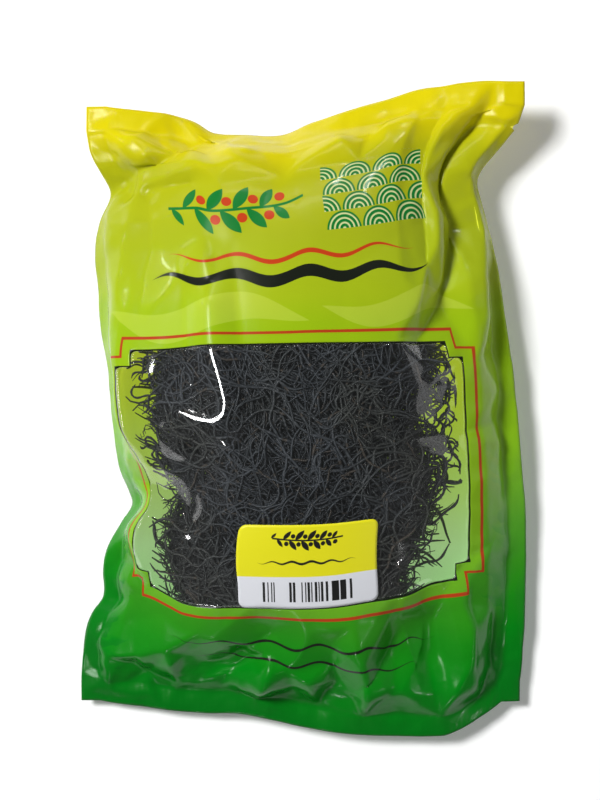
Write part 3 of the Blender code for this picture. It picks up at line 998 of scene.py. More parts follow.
    def middle(self, u: Array, v: Array) -> Array:
        """The points, in millimetres, of the level that the two walls part from.

        Args:
            u: The places' u.
            v: Their v.

        Returns:
            The points, with x, y and z last.
        """
        top, foot = along(self.frame_top, u), along(self.frame_foot, u)
        high, low = self.window.high, self.window.low
        up = np.clip((v - high) / (self.inner_v - high), 0, 1)
        down = np.clip((low - v) / (low + self.inner_v), 0, 1)
        y = foot + (top - foot) * np.clip((v - low) / (high - low), 0, 1)
        y = y + (along(self.top_seam, u) - top) * self._eased(up, self.top_ease)
        y = y + (along(self.bottom_seam, u) - foot) * self._eased(down, self.foot_ease)
        left, right = along(self.left_frame, y), along(self.right_frame, y)
        half = self.window.half_width
        share = np.clip((np.abs(u) - half) / (self.inner_u - half), 0, 1)
        x = (left + right) / 2 + (right - left) / 2 * self._eased(np.clip(u / half, -1, 1), self.face_ease)
        seam = np.where(u > 0, along(self.right_seam, y) - right, along(self.left_seam, y) - left)
        x = x + seam * self._eased(share, self.side_ease)
        band_x, band_y = np.maximum(np.abs(u) - self.inner_u, 0), np.maximum(np.abs(v) - self.inner_v, 0)
        side = np.radians(np.where(u > 0, along(self.right_droop, y), along(self.left_droop, y)))
        end = np.radians(np.where(v > 0, along(self.top_droop, u), along(self.bottom_droop, u)))
        x = x + np.sign(u) * band_x * np.cos(side) + self.zero[0]
        y = y + np.sign(v) * band_y * np.cos(end) + self.zero[1]
        z = self.seam_height(u, v) - band_x * np.sin(side) - band_y * np.sin(end)
        return np.stack((x, y, z), axis=-1)

    def wall(self, u: Array, v: Array, front: bool) -> Array:
        """The points of the outside of a wall.

        Args:
            u: The places' u.
            v: Their v.
            front: Whether it is the front wall.

        Returns:
            The points, with x, y and z last.
        """
        step = 0.5
        across = self.middle(u + step, v) - self.middle(u - step, v)
        lengthwise = self.middle(u, v + step) - self.middle(u, v - step)
        normal = unit(np.cross(across, lengthwise))
        full = self.cushion(u, v)
        if front:
            points = self.middle(u, v) + normal * self.seal_rise
            pushed = sum(fold.relief(u, v) for fold in self.folds)
            points[..., 2] += self.crown * full + pushed * np.minimum(1, 3 * full)
        else:
            points = self.middle(u, v) - normal * self.seal_rise
            points[..., 2] *= np.maximum(1 - full / self.base_reach, 0) ** self.base_power
        return points


@dataclass(frozen=True)
class Crease:
    """A crease in the film.

    It has the places that it runs through, how high it stands (or lies if below 0), how far its
    flanks reach and how round its top is.
    """

    line: Places
    height: float
    reach: float = 7.0
    round: float = 0.5

    def relief(self, u: Array, v: Array) -> Array:
        """The height that the crease adds.

        Args:
            u: The places' u.
            v: Their v.

        Returns:
            The heights.
        """
        ends = np.array(self.line, float)
        runs = np.linalg.norm(np.diff(ends, axis=0), axis=1)
        passed = np.concatenate(([0.0], np.cumsum(runs)))
        best, share = np.full(u.shape, 1e9), np.zeros(u.shape)
        for (u0, v0), (du, dv), run, before in zip(ends, np.diff(ends, axis=0), runs, passed):
            t = np.clip(((u - u0) * du + (v - v0) * dv) / run ** 2, 0, 1)
            away = np.hypot(u - u0 - t * du, v - v0 - t * dv)
            nearer = away < best
            best = np.where(nearer, away, best)
            share = np.where(nearer, (before + t * run) / passed[-1], share)
        fade = np.clip(5 * np.minimum(share, 1 - share) + 0.15, 0, 1)
        flank = 1 - (np.hypot(best, self.round) - self.round) / self.reach
        return self.height * fade * np.maximum(flank, 0)


@dataclass(frozen=True)
class FacetNet:
    """The film's crumples: flat facets between fold lines and corners of drawn height.

    The corners lie at one pitch and height on the seals, and go over to others in the middle. The
    jitter is how far they stray, as a share of the seals' pitch. A fold's ends have a part of its
    height.
    """

    form: PacketForm
    seed: int
    folds: tuple[Crease, ...] = ()
    middle_pitch: float = 24.0
    seal_pitch: float = 10.0
    middle_height: float = 0.7
    seal_height: float = 1.3
    clear_of_fold: float = 7.0
    middle_reach: float = 45.0
    jitter: float = 0.45
    end_part: float = 0.4

    def _corners(self) -> tuple[list[tuple[float, float]], list[float], list[tuple[int, int]]]:
        """Draws the corners.

        Returns:
            Their places and heights, and the folds' edges between them.
        """
        places, heights, edges = [], [], []
        for fold in self.folds:
            for number, place in enumerate(fold.line):
                if number:
                    edges.append((len(places) - 1, len(places)))
                ends = number in (0, len(fold.line) - 1)
                places.append(place)
                heights.append(fold.height * (self.end_part if ends else 1.0))
        lines = np.array(places) if places else np.full((1, 2), 1e6)
        rng = np.random.default_rng(self.seed)
        form = self.form
        rows = int(2 * form.half_length / self.seal_pitch) + 1
        for v0 in np.linspace(-form.half_length, form.half_length, rows):
            for u0 in np.linspace(-form.half_width, form.half_width, 2 * rows // 3):
                draw = rng.uniform(-1, 1, 4)
                inland = float(np.clip(form.inland(u0, v0) / self.middle_reach, 0, 1))
                pitch = self.seal_pitch + inland * (self.middle_pitch - self.seal_pitch)
                keep = (self.seal_pitch / pitch) ** 2
                u = u0 + draw[0] * self.seal_pitch * self.jitter
                v = v0 + draw[1] * self.seal_pitch * self.jitter
                if abs(u0) == form.half_width or abs(v0) == form.half_length:
                    u, v, keep = u0, v0, 1.0
                if (draw[2] + 1) / 2 > keep:
                    continue
                if np.hypot(*(lines - (u, v)).T).min() < self.clear_of_fold:
                    continue
                high = self.seal_height + inland * (self.middle_height - self.seal_height)
                places.append((float(u), float(v)))
                heights.append(float(draw[3] * high))
        return places, heights, edges

    def heights(self, us: Array, vs: Array) -> Array:
        """The crumples' height over a regular grid of places.

        Args:
            us: The grid's u, rising by equal steps.
            vs: The grid's v, rising by equal steps.

        Returns:
            The heights, by u and then v.
        """
        places, levels, edges = self._corners()
        corners = [Vector(place) for place in places]
        spots, _, facets, sources, _, _ = geometry.delaunay_2d_cdt(corners, edges, [], 0, 1e-5)
        level = [levels[source[0]] if source else 0.0 for source in sources]
        grid = np.zeros((len(us), len(vs)))
        step = us[1] - us[0]
        for a, b, c in facets:
            corner = np.array([spots[a], spots[b], spots[c]])
            low, high = corner.min(axis=0), corner.max(axis=0)
            i0, i1 = int((low[0] - us[0]) / step), int((high[0] - us[0]) / step) + 2
            j0, j1 = int((low[1] - vs[0]) / step), int((high[1] - vs[0]) / step) + 2
            u, v = np.meshgrid(us[i0:i1], vs[j0:j1], indexing="ij")
            (au, av), (bu, bv), (cu, cv) = corner
            area = (bv - cv) * (au - cu) + (cu - bu) * (av - cv)
            p = ((bv - cv) * (u - cu) + (cu - bu) * (v - cv)) / area
            q = ((cv - av) * (u - cu) + (au - cu) * (v - cv)) / area
            inside = (p > -CLOSE) & (q > -CLOSE) & (p + q < 1 + CLOSE)
            height = p * level[a] + q * level[b] + (1 - p - q) * level[c]
            grid[i0:i1, j0:j1] = np.where(inside, height, grid[i0:i1, j0:j1])
        return grid


def softened(grid: Array) -> Array:
    """Rounds off the sharp edges of a grid of heights: each is averaged with its neighbours.

    Args:
        grid: The heights.

    Returns:
        The softened heights.
    """
    for _ in range(2):
        edge = np.pad(grid, ((1, 1), (0, 0)), mode="edge")
        grid = ((edge[:-2] + 2 * grid + edge[2:]) / 4).T
    return grid


def grid_faces(wide: int, long: int) -> Array:
    """The four-sided faces between the points of a grid.

    Args:
        wide: How many points it has one way.
        long: How many it has the other way, which is the way that they are numbered in.

    Returns:
        Each face's point numbers, by row and column.
    """
    number = np.arange(wide * long).reshape(wide, long)
    return np.stack((number[:-1, :-1], number[1:, :-1], number[1:, 1:], number[:-1, 1:]), axis=-1)


def thicken(sheet: bpy.types.Object, thick: float, offset: float, inside: int = 0) -> None:
    """Gives a sheet its thickness.

    Args:
        sheet: The sheet.
        thick: The thickness in millimetres.
        offset: 1 for outward and -1 for inward.
        inside: How many places after the outside's material the inside's is.
    """
    wall = sheet.modifiers.new("thickness", "SOLIDIFY")
    wall.thickness = thick * MM
    wall.offset = offset
    wall.material_offset = inside


def new_mesh(name: str, points: Array, faces: list[Array], uvs: Array,
             *materials: bpy.types.Material) -> bpy.types.Object:
    """Makes an object with a smooth-shaded mesh and its flat map.

    Args:
        name: The object's name.
        points: The points in millimetres, one a row.
        faces: Groups of faces as point numbers, one face a row.
        uvs: Each point's place on the flat map, from 0 to 1.
        materials: Its materials.

    Returns:
        The object.
    """
    mesh = bpy.data.meshes.new(name)
    mesh.from_pydata((points * MM).tolist(), [], [face for group in faces for face in group.tolist()])
    layer = mesh.uv_layers.new(name=FLAT_UV)
    corner = np.empty(len(mesh.loops), dtype=np.int32)
    mesh.loops.foreach_get("vertex_index", corner)
    layer.data.foreach_set("uv", uvs[corner].astype(np.float32).ravel())
    for material in materials:
        mesh.materials.append(material)
    mesh.shade_smooth()
    made = bpy.data.objects.new(name, mesh)
    bpy.context.scene.collection.objects.link(made)
    return made


class Side(Enum):
    """Which wall of the packet."""

    FRONT = "front"
    BACK = "back"


@dataclass
class Web:
    """One wall of film as a grid of points, from which its pieces are cut.

    Its quiet zone, given by left, right, low and high, has little relief. Its notch, given by
    place, half width and depth, is the small tear-open cut at its right edge.
    """

    form: PacketForm
    side: Side
    crumples: tuple[FacetNet, ...]
    creases: tuple[Crease, ...] = ()
    pitch: float = 1.0
    quiet: tuple[float, float, float, float] | None = None
    sealed_to: Web | None = None
    notch: tuple[float, float, float] = (97.0, 1.7, 2.6)
    fade: float = 7.0
    points: Array = field(init=False)
    relief: Array = field(init=False)
    u: Array = field(init=False)
    v: Array = field(init=False)

    def __post_init__(self) -> None:
        """Works out the wall's points."""
        form = self.form
        us = np.arange(-form.half_width, form.half_width + self.pitch / 2, self.pitch)
        vs = np.arange(-form.half_length, form.half_length + self.pitch / 2, self.pitch)
        u, v = np.meshgrid(us, vs, indexing="ij")
        if self.side is Side.FRONT:
            u, v = form.window.rounded(u, v)
        place, half, depth = self.notch
        edge = np.clip((u - form.half_width + 3) / 3, 0, 1)
        u = u - depth * np.maximum(1 - np.abs(v - place) / half, 0) * edge
        base = form.wall(u, v, self.side is Side.FRONT)
        relief = sum(net.heights(us, vs) for net in self.crumples) + sum(c.relief(u, v) for c in self.creases)
        self.relief = softened(relief) * self._strength(u, v)
        if self.sealed_to:
            every = round(self.pitch / self.sealed_to.pitch)
            free = np.clip(form.inland(u, v) / self.fade, 0, 1)
            self.relief = self.sealed_to.relief[::every, ::every] * (1 - free) - self.relief * free
        normal = unit(np.cross(np.gradient(base, axis=0), np.gradient(base, axis=1)))
        self.points = base + normal * self.relief[..., None]
        self.points[..., 2] = np.maximum(self.points[..., 2], 0.0)
        self.u, self.v = u, v

    def _strength(self, u: Array, v: Array) -> Array:
        """How strongly the crumples show: less on the seals, and little in the quiet zone.

        Args:
            u: The places' u.
            v: Their v.

        Returns:
            The strengths, up to 1.
        """
        strength = 0.4 + 0.6 * np.clip(self.form.inland(u, v) / self.fade + 1, 0, 1)
        if self.quiet:
            left, right, low, high = self.quiet
            away = np.maximum(np.maximum(left - u, u - right), np.maximum(low - v, v - high))
            strength *= 0.1 + 0.9 * np.clip(away / self.fade, 0, 1)
        return strength

    def at(self, u: Array, v: Array) -> Array:
        """The wall's points at any places, between those of its grid.

        Args:
            u: The places' u.
            v: Their v.

        Returns:
            The points, with x, y and z last.
        """
        wide, long = self.points.shape[:2]
        a = np.clip((u + self.form.half_width) / self.pitch, 0, wide - 1.001)
        b = np.clip((v + self.form.half_length) / self.pitch, 0, long - 1.001)
        i, j = a.astype(int), b.astype(int)
        a, b = (a - i)[..., None], (b - j)[..., None]
        p = self.points
        low = p[i, j] * (1 - a) + p[i + 1, j] * a
        high = p[i, j + 1] * (1 - a) + p[i + 1, j + 1] * a
        return low * (1 - b) + high * b

    def cut(self, name: str, keep: Array, thick: float, *materials: bpy.types.Material) -> bpy.types.Object:
        """Cuts a piece out of the wall.

        Args:
            name: The piece's name.
            keep: Which cells of the grid it has, by u and then v.
            thick: The film's thickness.
            materials: The film's outside, and its inside where that differs.

        Returns:
            The piece.
        """
        quads = grid_faces(*self.points.shape[:2])[keep]
        if self.side is Side.BACK:
            quads = quads[:, ::-1]
        used, faces = np.unique(quads, return_inverse=True)
        points, uvs = self.points.reshape(-1, 3)[used], self.form.flat_map(self.u, self.v)[used]
        piece = new_mesh(name, points, [faces.reshape(quads.shape)], uvs, *materials)
        thicken(piece, thick, -1.0, len(materials) - 1)
        return piece


@dataclass
class Pouch:
    """The film packet: the printed front web, its clear window and the back web.

    The folds are lines in the film's facets. The creases stand on it with round tops.
    """

    form: PacketForm = field(default_factory=PacketForm)
    film_thick: float = 0.14
    label_zone: tuple[float, float, float, float] = (-23.0, 26.0, -72.0, -42.0)
    folds: tuple[Crease, ...] = (
        Crease(((69, 114), (64, 95), (57, 74), (60, 60), (57, 49), (49, 41), (45, 32), (37, 22)), 2.4),
        Crease(((72, 111), (73, 92), (68, 72), (72, 56), (66, 46), (60, 33), (47, 21)), -7.0),
        Crease(((81, 98), (78, 78), (80.5, 56), (75, 41), (74, 29), (68, 12)), 3.2),
        Crease(((82, 40), (81, 20), (80, -9), (79, -40)), -2.1),
        Crease(((-83, 72.6), (-78, 61), (-75, 49), (-70, 38), (-68, 24), (-66, 6), (-65, -10),
                (-61, -20)), 2.9),
        Crease(((-62.3, 79), (-61, 66.4), (-58, 54), (-60, 42.6)), -2.1),
        Crease(((-32, 116), (-40.2, 109), (-48.8, 98), (-58.6, 88.5), (-72, 83), (-84, 76)), -4.2),
        Crease(((-72, 112), (-66, 101), (-60, 94)), 2.6),
        Crease(((-25.8, 109), (-20.1, 94), (-29.8, 80.3)), 2.3),
        Crease(((-57, -24), (-54, -31), (-62, -35), (-74, -37)), -2.9),
        Crease(((48, 12), (44, 4), (36, -15)), 1.6),
        Crease(((-29.7, -108), (-25, -98.2), (-18.8, -92.9), (-14, -90.6)), -4.2),
        Crease(((-12, -94), (-15, -104), (-18, -113)), 4.2),
        Crease(((-6, -96), (-5, -106), (-3.5, -114)), -2.3),
        Crease(((3.6, -112), (7.9, -104), (11.9, -100), (9.5, -92), (10.3, -84)), -4.4),
        Crease(((20, -112), (22, -101), (19, -90), (16.2, -78)), 3.6),
        Crease(((32.3, -100), (31, -90), (30.9, -77)), -2.6),
        Crease(((51, -77), (48, -82), (46.5, -92), (47, -100)), -4.7),
        Crease(((59.6, -78.7), (62.2, -86), (61.2, -95), (55, -102), (49, -110)), 4.2),
        Crease(((72.5, -82), (74, -96), (77.7, -113)), -3.4),
        Crease(((-83, -90), (-74, -98.7), (-62.2, -96), (-49.8, -91), (-38, -82.4)), 3.6),
        Crease(((-44, -93), (-36, -97), (-33, -106)), -3.1),
        Crease(((-66, -101), (-60, -106), (-56, -113)), -2.9),
        Crease(((-84, -116), (-74, -115.5), (-58, -114)), 1.8),
        Crease(((10, 113), (6, 100), (-2, 86)), -1.3),
        Crease(((36, 113), (30, 98), (28, 86)), -2.1),
        Crease(((-79, -46), (-72, -50), (-64, -58)), 2.3),
        Crease(((-79, -64), (-70, -66), (-60, -75)), -2.6))
    creases: tuple[Crease, ...] = (
        Crease(((-33, 48), (-29.6, 33), (-26.6, 20), (-23.6, 9), (-21.9, 1), (-23.2, -3.8), (-27.6, -6.4),
                (-34, -4.9), (-42, -1.2), (-54, 4)), 3.6, 7.3, 2.6),
        Crease(((-47, -5), (-44, -12), (-44, -20)), 1.8, 6, 2.0),
        Crease(((-43, 45), (-36.3, 48.2), (-30, 51)), 1.6, 6, 2.0))
    front: Web = field(init=False)
    back: Web = field(init=False)

    def build(self) -> list[bpy.types.Object]:
        """Makes the three pieces of film and dresses them.

        Returns:
            The pieces.
        """
        form = self.form
        fine = FacetNet(form, 8, middle_pitch=9.0, seal_pitch=4.5, middle_height=0.08, seal_height=0.5)
        crumples = (FacetNet(form, 5, self.folds), fine)
        self.front = Web(form, Side.FRONT, crumples, self.creases, quiet=self.label_zone)
        rear = FacetNet(form, 23, middle_height=0.3)
        self.back = Web(form, Side.BACK, (rear,), pitch=2.0, sealed_to=self.front)
        us = np.arange(-form.half_width, form.half_width) + 0.5
        vs = np.arange(-form.half_length, form.half_length) + 0.5
        clear = form.window.holds(*np.meshgrid(us, vs, indexing="ij"))
        printed = PrintedFilm(form.window).material("printed_film")
        inside = FilmInside().material("film_inside")
        plain = PrintedFilm(form.window, ornament=False).material("back_print")
        pane = ClearFilm().material("clear_film")
        web = self.front.cut("printed_front_film", ~clear, self.film_thick, printed, inside)
        window = self.front.cut("clear_window_film", clear, self.film_thick, pane)
        whole = np.ones((len(us) // 2, len(vs) // 2), bool)
        back = self.back.cut("back_film_wall", whole, self.film_thick, plain, inside)
        for piece, node, slot in ((web, "front_film", "printed_film"), (window, "window_film", "clear_film"),
                                  (back, "back_film", "plain_film")):
            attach(piece, BODY)
            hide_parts(node)
        return [web, window, back]


@dataclass
class PaperLabel:
    """The paper label stuck over the foot of the window."""

    pouch: Pouch
    corner: float = 2.6
    thick: float = 0.12
    lift: float = 0.22
    pitch: float = 1.0

    def build(self) -> list[bpy.types.Object]:
        """Makes the label and dresses it.

        Returns:
            The label.
        """
        left, right, low, high = self.pouch.label_zone
        form, web = self.pouch.form, self.pouch.front
        us = np.linspace(left, right, int((right - left) / self.pitch) + 1)
        vs = np.linspace(low, high, int((high - low) / self.pitch) + 1)
        middle, half = ((left + right) / 2, (low + high) / 2), ((right - left) / 2, (high - low) / 2)
        u, v = round_corners(*np.meshgrid(us, vs, indexing="ij"), middle, half, self.corner)
        step = 0.6
        across = web.at(u + step, v) - web.at(u - step, v)
        lengthwise = web.at(u, v + step) - web.at(u, v - step)
        points = web.at(u, v) + unit(np.cross(across, lengthwise)) * self.lift
        quads = grid_faces(*u.shape).reshape(-1, 4)
        paper = LabelPaper(2 * form.half_width, 2 * form.half_length).material("label_paper")
        label = new_mesh("paper_label", points.reshape(-1, 3), [quads], form.flat_map(u, v), paper)
        thicken(label, self.thick, 1.0)
        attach(label, BODY)
        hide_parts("label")
        return [label]


class Bed(Enum):
    """Where in the tangle a strand lies."""

    FACE = "face"
    FRINGE = "fringe"
    ENDS = "ends"
    UNDER = "under"


@dataclass(frozen=True)
class StrandKind:
    """A batch of strands: how many, how long and thick, how deep they lie and how they bend.

    The tone goes from dark to pale, darker as painted shade where strands lie deeper. The twigs are a share
    of the strands' number.
    """

    name: str
    bed: Bed
    count: int
    length: tuple[float, float]
    radius: tuple[float, float]
    depth: tuple[float, float]
    bend: float = 2.2
    curl: tuple[float, float] = (0.25, 1.0)
    tone: tuple[float, float] = (0.0, 1.0)
    twigs: float = 0.7
    sides: int = 3
    knots: int = 14
    twig_knots: int = 7
    least_bend: float = 0.0


@dataclass(frozen=True)
class Stray:
    """A lone strand: its root and its heading there, its length and radius, and its turn on the way."""

    u: float
    v: float
    heading: float
    length: float
    radius: float
    turn: float


@dataclass(frozen=True)
class Clump:
    """A small clump of strands: its middle, how far it spreads and how many strands it has."""

    u: float
    v: float
    spread: float
    count: int


@dataclass
class SeaweedTangle:
    """The dried seaweed: a dark core that thousands of fine curled strands lie over and stand out of.

    The edges give how far the tangle reaches to each side, by v, between its low and high ends. No
    strand's middle line goes past the reach, or nearer to the film behind it than the gap. The
    strands of the face go past the window's ends by a margin, and those of the ends lap over its
    own. The core's numbers say how far it is inside the tangle's edges, and how far from the front
    film and the back film it lies.
    """

    pouch: Pouch
    seed: int = 41
    low: float = -96.0
    high: float = 88.0
    reach: float = 61.0
    gap: float = 1.2
    face_margin: float = 6.0
    end_lap: float = 2.0
    core_left: float = 10.0
    core_right: Stations = ((16, 10), (32, 4))
    core_depth: float = 8.0
    core_floor: float = 2.4
    left_edge: Stations = (
        (-96, -26), (-88, -38), (-72, -44), (-60, -46), (-45, -51), (-26, -48), (-8, -49), (10, -47),
        (22, -46), (45, -46), (56, -48), (70, -49), (82, -38), (88, -24))
    right_edge: Stations = (
        (-96, 22), (-88, 34), (-68, 35), (-55, 38), (-42, 46), (-28, 43), (-12, 41), (-4, 45), (7, 48),
        (20, 54), (45, 54), (70, 48), (82, 36), (88, 22))
    # The top strands have pale tones and the deep ones dark: painted light and shade by depth, over tones
    # drawn at random.
    kinds: tuple[StrandKind, ...] = (
        StrandKind("weed_top_strands", Bed.FACE, count=460, length=(12, 44), radius=(0.26, 0.60),
                   depth=(0.7, 2.4), bend=1.6, curl=(0.12, 0.7), tone=(0.3, 1.0), twigs=0.9, sides=4,
                   knots=15),
        StrandKind("weed_face_strands", Bed.FACE, count=1000, length=(12, 40), radius=(0.26, 0.50),
                   depth=(1.7, 4.4), bend=1.8, curl=(0.15, 0.8), tone=(0.06, 0.6)),
        StrandKind("weed_deep_strands", Bed.FACE, count=1300, length=(14, 46), radius=(0.30, 0.60),
                   depth=(3.5, 7.5), bend=1.8, curl=(0.15, 0.8), tone=(0.0, 0.28)),
        StrandKind("weed_fringe_strands", Bed.FRINGE, count=1100, length=(8, 24), radius=(0.19, 0.34),
                   depth=(1.5, 9.0), bend=2.6, curl=(0.5, 1.5), tone=(0.0, 0.5), least_bend=2.6),
        StrandKind("weed_end_strands", Bed.ENDS, count=700, length=(24, 60), radius=(0.4, 0.7),
                   depth=(1.2, 6.0), tone=(0.0, 0.6)),
        StrandKind("weed_under_strands", Bed.UNDER, count=400, length=(25, 60), radius=(0.5, 0.8),
                   depth=(1.0, 3.0), tone=(0.0, 0.6)))
    strays: tuple[Stray, ...] = (
        Stray(46, 4, 40, 26, 0.55, -260), Stray(47, -6, 10, 30, 0.5, 200),
        Stray(45, -22, -10, 34, 0.6, -210), Stray(44, -30, -5, 30, 0.55, -230),
        Stray(42, -46, -20, 22, 0.5, 90), Stray(44, -38, 28, 24, 0.75, -40),
        Stray(-48, -12, 222, 22, 0.55, 60), Stray(-46, -58, 155, 18, 0.6, -30),
        Stray(38, -62, -30, 20, 0.45, 80), Stray(50, 12, 20, 16, 0.4, -120),
        Stray(43, -16, 30, 20, 0.45, 150), Stray(-46, -46, 200, 14, 0.4, 60))
    clumps: tuple[Clump, ...] = (
        Clump(50, 3, 5.5, 46), Clump(50, -17, 6.0, 52), Clump(47, -27, 5, 30),
        Clump(-50, -20, 5, 40), Clump(-48, 12, 4, 26))

    def build(self) -> list[bpy.types.Object]:
        """Makes the core and the strands, and dresses them.

        Returns:
            The pieces.
        """
        weed = DriedWeed().material("dried_seaweed")
        rng = np.random.default_rng(self.seed)
        pieces = [self._core(weed)]
        for kind in self.kinds:
            pieces.append(self._strands(kind, rng, weed))
        pieces.append(self._stray_strands(rng, weed))
        for piece in pieces:
            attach(piece, BODY)
            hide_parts("seaweed_tangle")
        return pieces

    def _lay(self, u: Array, v: Array, depth: Array, under: bool = False) -> Array:
        """Points in the tangle, at a depth under the front film, or over the back film.

        Args:
            u: The places' u.
            v: Their v.
            depth: How deep they lie.
            under: Whether the depth counts from the back film.

        Returns:
            The points, with x, y and z last.
        """
        roof, floor = self.pouch.front.at(u, v), self.pouch.back.at(u, v)
        room = roof[..., 2] - floor[..., 2]
        depth = np.minimum(depth, np.maximum(room - self.gap, room / 2))
        points = roof.copy()
        points[..., 2] = floor[..., 2] + depth if under else roof[..., 2] - depth
        return points

    def _core(self, weed: bpy.types.Material, spokes: int = 96, rings: int = 30) -> bpy.types.Object:
        """The dark core, a lumpy cushion under the strands.

        Args:
            weed: The finish.
            spokes: How many points it has round.
            rings: How many rings of points each of its two sides has.

        Returns:
            The piece.
        """
        turn = np.linspace(0, 2 * math.pi, spokes, endpoint=False)
        share = np.sin(np.linspace(0, 1, rings + 1)[1:] * math.pi / 2)
        v = (self.low + self.high) / 2 + np.outer(share, np.sin(turn)) * (self.high - self.low) / 2 * 0.9
        left = along(self.left_edge, v) + self.core_left
        right = along(self.right_edge, v) - np.interp(v, *zip(*self.core_right))
        chord = np.sqrt(np.maximum(1 - (np.sin(turn) * share[:, None]) ** 2, CLOSE))
        reach = np.outer(share, np.cos(turn)) / np.maximum(chord, 0.05)
        u = (left + right) / 2 + np.clip(reach, -1, 1) * (right - left) / 2
        lumps = 1.2 * np.sin(u / 3.1 + np.sin(v / 5)) * np.sin(v / 2.7 + np.sin(u / 6))
        swell = np.sqrt(np.maximum(1 - share ** 6, 0))[:, None]
        roof, floor = self.pouch.front.at(u, v), self.pouch.back.at(u, v)
        top, low = roof[..., 2] - self.core_depth + lumps, floor[..., 2] + self.core_floor + 0.4 * lumps
        level, half = (top + low) / 2, np.maximum((top - low) / 2, 0.4) * swell
        faces, points = [], []
        number = np.arange(rings * spokes).reshape(rings, spokes)
        after = np.roll(number, -1, axis=1)
        each = rings * spokes + 1
        for layer_number, side in enumerate((1, -1)):
            layer = roof.copy()
            layer[..., 2] = level + side * half
            pole = layer[0].mean(axis=0, keepdims=True)
            points.append(np.concatenate((layer.reshape(-1, 3), pole)))
            quads = np.stack((number[:-1], number[1:], after[1:], after[:-1]), axis=-1).reshape(-1, 4)
            fan = np.stack((np.full(spokes, each - 1), number[0], after[0]), axis=-1)
            faces += [group[:, ::side] + layer_number * each for group in (quads, fan)]
        rim, rim_after = number[-1], after[-1]
        faces.append(np.stack((rim, rim + each, rim_after + each, rim_after), axis=-1))
        every = np.concatenate(points)
        place = every[:, 1] / (2 * self.pouch.form.half_length) + 0.5
        # The core takes a near-dark tone: the painted shade of the deepest weed.
        uvs = np.stack((np.full(len(every), 0.05), place), axis=-1)
        return new_mesh("weed_core", every, faces, uvs, weed)

    def _starts(self, kind: StrandKind, rng: np.random.Generator) -> tuple[Array, Array]:
        """Draws where a batch's strands have their middles.

        Args:
            kind: The batch.
            rng: Gives the draws.

        Returns:
            The middles' u and v.
        """
        window = self.pouch.form.window
        face = (window.low - self.face_margin, window.high + self.face_margin)
        ends = ((self.low, window.low + self.end_lap), (window.high - self.end_lap, self.high))
        spans = {Bed.FACE: (face,), Bed.FRINGE: (face,), Bed.UNDER: ((self.low, self.high),),
                 Bed.ENDS: ends}[kind.bed]
        total = sum(high - low for low, high in spans)
        places = []
        for low, high in spans:
            places.append(rng.uniform(low, high, int(kind.count * (high - low) / total)))
        v = np.concatenate(places)
        share = rng.uniform(0.05, 0.95, len(v))
        if kind.bed is Bed.FRINGE:
            side = rng.integers(0, 2, len(v))
            share = side + (1 - 2 * side) * np.abs(rng.normal(0, 0.055, len(v)))
        left, right = along(self.left_edge, v), along(self.right_edge, v)
        return left + share * (right - left), v

    @staticmethod
    def _flow(u: Array, v: Array) -> Array:
        """The way, in radians, that the strands round a place mostly run."""
        return 1.4 * np.sin(u / 17 + 1.3) + 1.2 * np.cos(v / 14 - u / 40)

    def _strands(self, kind: StrandKind, rng: np.random.Generator,
                 weed: bpy.types.Material) -> bpy.types.Object:
        """A batch of strands, with their twigs, as one piece.

        Args:
            kind: The batch.
            rng: Gives the draws.
            weed: The finish.

        Returns:
            The piece.
        """
        u, v = self._starts(kind, rng)
        count, knots = len(u), kind.knots
        length = rng.uniform(*kind.length, count)
        radius = rng.uniform(*kind.radius, count)
        heading = self._flow(u, v) + rng.normal(0, 0.9, count) + math.pi * rng.integers(0, 2, count)
        u, v, heading = self._wander(rng, u, v, heading, length, knots, kind)
        t = np.linspace(0, 1, knots)
        rest = rng.uniform(*kind.depth, count)[:, None]
        wave = np.sin(t * rng.uniform(3, 11, count)[:, None] + rng.uniform(0, 6.3, count)[:, None])
        depth = rest + wave * rng.uniform(0.2, 1.1, count)[:, None]
        draw = rng.uniform(0, 1, count)[:, None]
        batches = [(u, v, depth, radius, draw)]
        if kind.twigs:
            parent = rng.integers(0, count, int(count * kind.twigs))
            knot = rng.integers(2, knots - 2, len(parent))
            side = rng.choice((-1, 1), len(parent))
            turn = heading[parent, knot] + side * rng.uniform(0.4, 1.0, len(parent))
            reach = rng.uniform(0.15, 0.4, len(parent)) * length[parent]
            root_u, root_v = u[parent, knot], v[parent, knot]
            tu, tv, _ = self._wander(rng, root_u, root_v, turn, reach, kind.twig_knots, kind, 0)
            slope = rng.normal(0, 0.9, len(parent))[:, None]
            dip = depth[parent, knot][:, None] + slope * np.linspace(0, 1, kind.twig_knots)
            batches.append((tu, tv, dip, radius[parent] * 0.75, draw[parent]))
        tubes = []
        for bu, bv, bd, br, drawn in batches:
            bd = np.maximum(bd, 0.3 + br[:, None] * 1.3)
            # Painted shade: the deeper a strand lies, the darker its tone; the rest of the tone differs at
            # random.
            lit = np.clip(1 - (bd - kind.depth[0]) / (kind.depth[1] - kind.depth[0]), 0, 1)
            tone = kind.tone[0] + (kind.tone[1] - kind.tone[0]) * lit * (0.25 + 0.75 * drawn)
            tubes.append((self._lay(bu, bv, bd, kind.bed is Bed.UNDER), br, tone))
        return self._tubes(kind.name, tubes, rng, weed, kind.sides)

